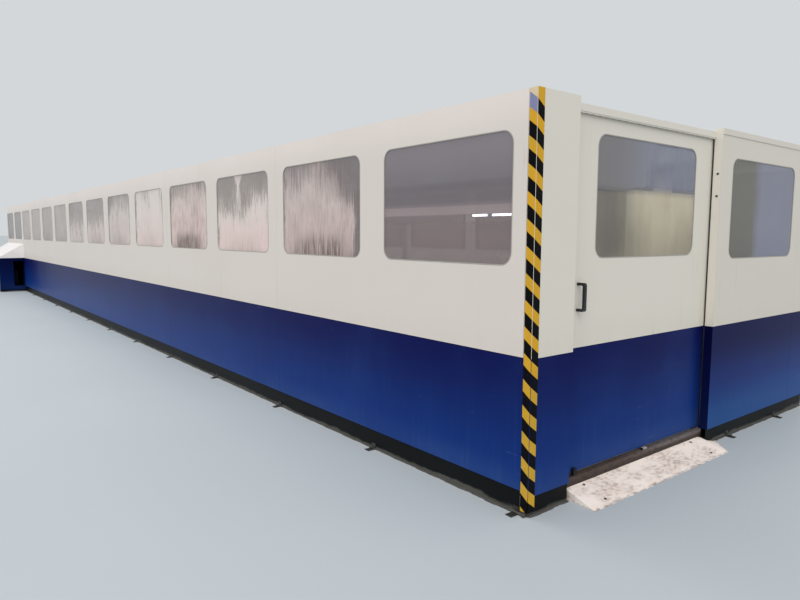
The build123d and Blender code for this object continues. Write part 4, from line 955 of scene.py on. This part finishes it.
# %% Seals
def rounded_path(width, height, radius, steps=7):
    """A rounded rectangle and its outward directions: corner centre plus radius times direction."""
    quarter = np.linspace(0, np.pi / 2, steps)
    turn = (np.arange(4)[:, None] * np.pi / 2 + quarter).ravel()
    middle = np.repeat(np.arange(4) * np.pi / 2 + np.pi / 4, steps)
    outward = np.stack([np.cos(turn), np.sin(turn)], axis=-1)
    corner = np.sign(np.stack([np.cos(middle), np.sin(middle)], axis=-1))
    return corner * (np.array([width, height]) / 2 - radius) + radius * outward, outward


def seal(centre, width, height, across, out, section):
    """A bead round one opening; across and out are unit vectors of the wall, up is Z."""
    path, outward = rounded_path(width, height, WINDOW_CORNER)
    side = path[:, None, 0] + section[None, :, 0] * outward[:, None, 0]
    rise = path[:, None, 1] + section[None, :, 0] * outward[:, None, 1]
    depth = np.broadcast_to(section[None, :, 1], side.shape)
    place = side[..., None] * np.asarray(across) + depth[..., None] * np.asarray(out)
    place = place + rise[..., None] * np.array([0, 0, 1.0])
    return skin(np.asarray(centre) + place, loop=True)


SEAL_SECTION = ring(0.008, 0.007, steps=8, power=3.0) - np.array([0.003, 0.0])


def opening_seal(low, high):
    """The bead of the opening in front of one pane, on the side that faces out of the row."""
    size = high - low
    middle = (low + high) / 2
    thin = int(np.argmin(size[:2]))
    out = np.zeros(3)
    out[thin] = np.sign(middle[thin])
    across = np.array([1.0, 0, 0]) if thin == 1 else np.array([0, 1.0, 0])
    centre = middle + out * (size[thin] / 2 + 0.001)
    wide = size[1 - thin] - 2 * PANE_LAP
    return seal(centre, wide, size[2] - 2 * PANE_LAP, across, out, SEAL_SECTION)


for name, node, body in (
    ("window_seals", "window_panes", "enclosure"),
    ("door_window_seal", "door_pane", "door"),
):
    piece(name, [opening_seal(*box) for box in islands(node)], RUBBER, body)

# %% [markdown]
# ## Small hardware
# Screws hold the ramp to the floor and the fixed panel to its post, black plugs close the bolt
# holes along the bed's rails, a pale brush hangs behind the header's lip, where its colour sets how
# light the shade line under the lip looks, and a strip seals the gap between the leaf and the fixed
# panel. A screw is a short turned profile; its axis is the normal of the surface that it sits on.

# %% Screws, plugs and brush
SCREW_HEAD = [
    (-0.001, 0.0085), (0.001, 0.009), (0.0032, 0.0078), (0.0042, 0.0045), (0.0032, 0.003), (0.0028, 0.001),
]
RAMP_SCREWS = ((-0.025, 0.567), (0.130, 0.567), (0.130, 1.905), (-0.025, 1.905))
ramp_low, ramp_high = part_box("ramp")
ramp_slope = ramp_high.z / (ramp_high.x - ramp_low.x)
heads = []
for out, along in RAMP_SCREWS:
    height = ramp_slope * (ramp_high.x - END - out)
    heads.append(turned(SCREW_HEAD, (END + out, FRONT + along, height), (ramp_slope, 0, 1), steps=14))
piece("ramp_screws", heads, HANDLE, "enclosure")

RETURN_SCREWS = (2.07, 1.906)
SCREW_INSET = 0.026
fixed_low, fixed_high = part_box("fixed_end_panel_upper")
heads = []
for z in RETURN_SCREWS:
    heads.append(turned(SCREW_HEAD, (fixed_high.x - SCREW_INSET, fixed_low.y, z), (0, -1, 0), steps=14))
piece("panel_screws", heads, HANDLE, "enclosure")

RAIL_WIDTH = 0.055
PLUG_PITCH = 0.2
PLUG = turned([(-0.0005, 0.0085), (0.0002, 0.0085), (0.0002, 0.001)], (0, 0, 0), (0, 0, 1), steps=12)
plugs = []
for low, high in islands("bed_rails"):
    if abs(high[1] - low[1] - RAIL_WIDTH) < 0.002:
        along = np.arange(low[0] + PLUG_PITCH / 2, high[0], PLUG_PITCH)
        beside = np.full(len(along), (low[1] + high[1]) / 2)
        level = np.full(len(along), high[2])
        plugs += copies(PLUG, np.stack([along, beside, level], axis=-1))
piece("rail_plugs", plugs, HANDLE, "enclosure")

# a pale brush in the shaded gap under the header's lip: its colour stands in for the softer shade there
BRUSH_SETBACK = 0.0575
BRUSH_LENGTH = 0.016
BRUSH_TOP = 0.012
leaf_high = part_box("door_leaf_upper")[1]
brush_along = np.linspace(FRONT + DOORWAY[0], FRONT + DOORWAY[1], 173)
brush_drop = BRUSH_LENGTH + 0.0015 * ripple(brush_along, 0.07, 0.4)
brush = ring(0.005, 1.0, steps=8, power=3.0)
brush_x = END - BRUSH_SETBACK + np.broadcast_to(brush[None, :, 0], (len(brush_along), 8))
brush_z = leaf_high.z + BRUSH_TOP - brush_drop[:, None] * (0.5 - brush[None, :, 1])
brush_y = np.broadcast_to(brush_along[:, None], brush_x.shape)
bristles = skin(np.stack([brush_x, brush_y, brush_z], axis=-1))
piece("header_brush", [bristles], SHADE_LINE_BRUSH, "enclosure")

STRIP_INSET = 0.066
STRIP_FOOT = 0.14
strip = ring(0.010, 0.006, steps=8, power=4.0) + [fixed_high.x - STRIP_INSET, fixed_low.y - 0.001]
strip_bar = beam(strip, (STRIP_FOOT, leaf_high.z), axis=2)
piece("panel_edge_seal", [strip_bar], HANDLE, "enclosure")

# %% [markdown]
# ## Sealant along the floor
# A bead of grey sealant lies in the corner between the base channels and the floor. It was laid by
# hand, so it swells and thins, most near the door corner where it was gone over twice. Its section
# is a quarter of an ellipse whose width and height follow a sum of sines.

# %% Floor bead
def floor_bead(start, end, out, seed, heavy):
    """A quarter-round bead from start to end in plan, growing towards out; heavier towards its end."""
    start, end, out = (np.array(v, float) for v in (start, end, out))
    length = np.linalg.norm(end - start)
    along = np.arange(0, length, 0.02)
    near = np.exp(-(length - along) / 0.6) * heavy
    width = 0.010 + 0.010 * near + (0.004 + 0.006 * near) * ripple(along, 0.31, seed)
    height = 0.006 + 0.009 * near + (0.003 + 0.005 * near) * ripple(along, 0.23, seed + 1.3)
    turn = np.linspace(0, np.pi / 2, 6)
    section = np.concatenate([np.stack([np.cos(turn), np.sin(turn)], axis=-1), [(0.0, 1.0), (0.0, 0.0)]])
    section[-2:, 0] = -0.3
    plan = start + (end - start) * (along / length)[:, None]
    spread = plan[:, None, :] + section[None, :, :1] * np.abs(width)[:, None, None] * out
    level = section[None, :, 1:] * np.abs(height)[:, None, None] + 0.0002
    return skin(np.concatenate([spread, level], axis=-1))


BASE_SETBACK = 0.012
cabinet_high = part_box("side_cabinet_body")[1]
front_base = FRONT + BASE_SETBACK
end_base = END - BASE_SETBACK
beads = [
    floor_bead((cabinet_high.x, front_base), (end_base, front_base), (0, -1), 0.7, 1.0),
    floor_bead((end_base, FRONT + 0.38), (end_base, front_base - 0.012), (1, 0), 2.9, 0.8),
    floor_bead((end_base, REAR - BASE_SETBACK), (end_base, ramp_high.y + 0.01), (1, 0), 4.1, 0.3),
    floor_bead((FAR, REAR - BASE_SETBACK), (end_base, REAR - BASE_SETBACK), (0, 1), 5.3, 0.2),
]
SEALANT = moulded("floor_sealant", colour("4a4642"), colour("242120"), 0.6)
piece("floor_sealant", beads, SEALANT, "enclosure")

# %% [markdown]
# ## The lift screw
# The head climbs on a ball screw: a smooth bar with one rounded groove that winds round it, 20 mm
# to a turn. On the grid, a point's place in the groove is its height less its share of a turn, and
# the radius drops there by a bell curve. The piece stands for the plain bar of the solids.

# %% Screw thread
LEAD = 0.02
screw_low, screw_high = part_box("lift_screw")
screw_radius = (screw_high.x - screw_low.x) / 2
levels = np.linspace(screw_low.z, screw_high.z, int((screw_high.z - screw_low.z) / LEAD * 10))
turn = np.arange(24) * 2 * np.pi / 24
phase = (levels[:, None] / LEAD - turn[None] / (2 * np.pi)) % 1.0
plain = (levels > screw_high.z - 0.04) | (levels < screw_low.z + 0.03)
groove = np.exp(-((phase - 0.5) / 0.13) ** 2) * ~plain[:, None]
radius = screw_radius - 0.0022 * groove
middle = (screw_low + screw_high) / 2
thread = np.stack([
    middle.x + radius * np.cos(turn),
    middle.y + radius * np.sin(turn),
    np.broadcast_to(levels[:, None], radius.shape),
], axis=-1)
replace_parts(piece("lift_screw_thread", [skin(thread)], STEEL, "lift_screw"), "lift_screw")

# %% [markdown]
# ## The energy chain
# Hoses and cables reach the carriage through a chain of links that rolls over as it travels. It is
# one section carried along a lower run, a half turn and an upper run; the section is waisted at
# every joint between links.

# %% Chain links
CHAIN_FIXED = END - 11.35
CHAIN_BEND = 0.15
LINK = 0.1
chain_low, chain_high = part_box("energy_chain")
chain_y = (chain_low.y + chain_high.y) / 2
chain_wide = chain_high.y - chain_low.y
chain_tall = (chain_high.z - chain_low.z) - 2 * CHAIN_BEND
chain_level = chain_low.z + chain_tall / 2
chain_turn = chain_low.x + CHAIN_BEND + chain_tall / 2
LINK_STATIONS = np.array([0.0, 0.05, 0.12, 0.5, 0.88, 0.95])
LINK_WAIST = np.array([0.82, 0.84, 1.0, 1.0, 1.0, 0.84])


def links(path, count):
    """Chain links along a path function that gives points and upward normals for shares 0 to 1."""
    share = ((np.arange(count)[:, None] + LINK_STATIONS) / count).ravel()
    waist = np.tile(LINK_WAIST, count)
    share, waist = np.append(share, 1.0), np.append(waist, LINK_WAIST[0])
    points, normals = path(share)
    section = ring(chain_wide, chain_tall, steps=16, power=6.0)
    up = waist[:, None] * section[None, :, 1]
    x = points[:, None, 0] + normals[:, None, 0] * up
    z = points[:, None, 1] + normals[:, None, 1] * up
    y = chain_y + np.broadcast_to(section[None, :, 0] * (0.5 + waist[:, None] / 2), x.shape)
    return skin(np.stack([x, y, z], axis=-1))


def run(start, end, level):
    """A straight run between two places along X at one level."""
    def path(share):
        x = start + (end - start) * share
        flat = np.stack([x, np.full(len(x), level)], axis=-1)
        return flat, np.tile([0.0, 1.0], (len(x), 1))
    return path


def half_turn(share):
    """The bend: a half circle from the lower run's end back to the upper run's start."""
    angle = -np.pi / 2 - np.pi * share
    outward = np.stack([np.cos(angle), np.sin(angle)], axis=-1)
    return np.array([chain_turn, chain_level + CHAIN_BEND]) + CHAIN_BEND * outward, -outward


def eased(weight):
    """The place t at which 3t^2 - 2t^3 reaches this weight."""
    return 0.5 - math.sin(math.asin(1 - 2 * weight) / 3)


def bend_between(made, x_start, x_end, weight_start, weight_end):
    """Works out the eased shares of the carriage's travel at two places along X, then bakes the piece's place
    into its mesh.
    """
    low_t, high_t = eased(weight_start), eased(weight_end)
    step = (x_end - x_start) / (high_t - low_t)
    origin = x_start - low_t * step
    origin + step
    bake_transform(made)


RUN_PARTS = 3
for name, start, end, level, base in (
    ("lower", CHAIN_FIXED, chain_turn, chain_level, 0.0),
    ("upper", chain_turn, chain_high.x, chain_level + 2 * CHAIN_BEND, 0.5),
):
    cuts = start + (end - start) * np.linspace(0, 1, RUN_PARTS + 1)
    shares = base + 0.5 * np.linspace(0, 1, RUN_PARTS + 1)
    for part in range(RUN_PARTS):
        count = round(abs(cuts[part + 1] - cuts[part]) / LINK)
        shape = links(run(cuts[part], cuts[part + 1], level), count)
        made = piece(f"chain_{name}_run_{part + 1}", [shape], CHAIN, None)
        bend_between(made, cuts[part], cuts[part + 1], shares[part], shares[part + 1])
chain_loop = piece("chain_turn", [links(half_turn, 5)], CHAIN, None)
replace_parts(chain_loop, "energy_chain")
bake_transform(chain_loop)

# %% [markdown]
# ## Motors, drives, lights and keys
# Cooling ribs run round the motors, drive modules have slotted fronts, each light has three glowing
# tubes end to end along the front of its body, and the console has rows of low keys. All are
# sections or stations repeated by arrays at places that come from the solids' own boxes.

# %% Ribs, grilles, diffusers and keys
def ribbed(low, high, axis, ribs=9, depth=0.005):
    """Round ribs over a cylinder in this box: the radius steps up and down along the axis."""
    low, high = np.array(low), np.array(high)
    length = high[axis] - low[axis]
    radius = (high - low)[(axis + 1) % 3] / 2
    edges = np.linspace(0.12, 0.88, 2 * ribs) * length
    steps = [(0.1 * length, radius - 0.002)]
    for number, edge in enumerate(edges):
        first, second = (0.0006, depth) if number % 2 == 0 else (depth, 0.0006)
        steps += [(edge - 0.0006, radius + first), (edge + 0.0006, radius + second)]
    steps.append((0.9 * length, radius - 0.002))
    centre = (low + high) / 2
    centre[axis] = low[axis]
    direction = np.eye(3)[axis]
    return turned(steps, centre, direction, steps=40)


piece("spindle_motor_ribs", [ribbed(*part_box("spindle_motor"), axis=1)], MOTOR, "ram")

MOTOR_RADIUS = 0.065
GEARBOX_HEIGHT = 0.15
column_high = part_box("column")[1]
motor_ribs = []
for low, high in islands("axis_motors"):
    if low[2] > column_high.z - 0.01:
        motor_ribs.append(ribbed(low, high, axis=2, ribs=7))
    else:
        inset = (high[0] - low[0]) / 2 - MOTOR_RADIUS
        can_low = (low[0] + inset, low[1] + inset, low[2] + GEARBOX_HEIGHT)
        motor_ribs.append(ribbed(can_low, high - [inset, inset, 0], axis=2))
piece("axis_motor_ribs", motor_ribs, MOTOR, "carriage")

DIFFUSER = ring(0.03, 0.034, steps=14) + [0.004, 0.018]
DIFFUSER_STOPS = np.array([0.04, 0.33, 0.43])
diffusers = []
for low, high in islands("light_fittings"):
    stops = np.append(low[0] + DIFFUSER_STOPS, high[0] - DIFFUSER_STOPS[::-1])
    diffusers += [beam(DIFFUSER + low[1:], ends, axis=0) for ends in np.reshape(stops, (3, 2))]
piece("light_diffusers", diffusers, LAMP, "enclosure")

bars = []
BAR = ring(0.006, 0.009, steps=8, power=4.0)
BARS_A_MODULE = 9
BAR_INSET = 0.02
BACK_PLATE_HEIGHT = 1.2
for low, high in islands("drive_modules"):
    if high[2] - low[2] > BACK_PLATE_HEIGHT:
        continue
    for level in np.linspace(low[2] + 0.06, low[2] + 0.6 * (high[2] - low[2]), BARS_A_MODULE):
        bars.append(beam(BAR + [low[0], level], (low[1] + BAR_INSET, high[1] - BAR_INSET), axis=1))
piece("drive_grilles", bars, MOTOR, "enclosure")

KEY_ROWS, KEY_COLUMNS = 3, 9
console_low, console_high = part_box("operator_console")
SHELF_LIP = 0.05
SHELF = np.array([0.19, 0.11])
shelf_edge = np.array([console_low.y, console_low.z + SHELF_LIP])
tilt = np.array([0, -SHELF[1], SHELF[0]])
KEY_PROFILE = [(-0.001, 0.012), (0.0025, 0.0122), (0.0045, 0.0105), (0.005, 0.007)]
KEY = turned(KEY_PROFILE, (0, 0, 0), tilt, steps=16, power=5.0)
places = []
for row in np.linspace(0.3, 0.8, KEY_ROWS):
    line = shelf_edge + SHELF * row
    for x in np.linspace(console_low.x + 0.08, console_high.x - 0.08, KEY_COLUMNS):
        places.append((x, line[0], line[1]))
piece("console_keys", copies(KEY, places), DRIVES, "enclosure")

# %% [markdown]
# ## Closing
# The box of the finished model is printed, so that its size can be held against the solids, and the
# view transform is set to Standard.

# %% Sizes and finish
low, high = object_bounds()
print("visual box", [round(v, 3) for v in (*low, *high)])
bpy.context.scene.view_settings.view_transform = "Standard"
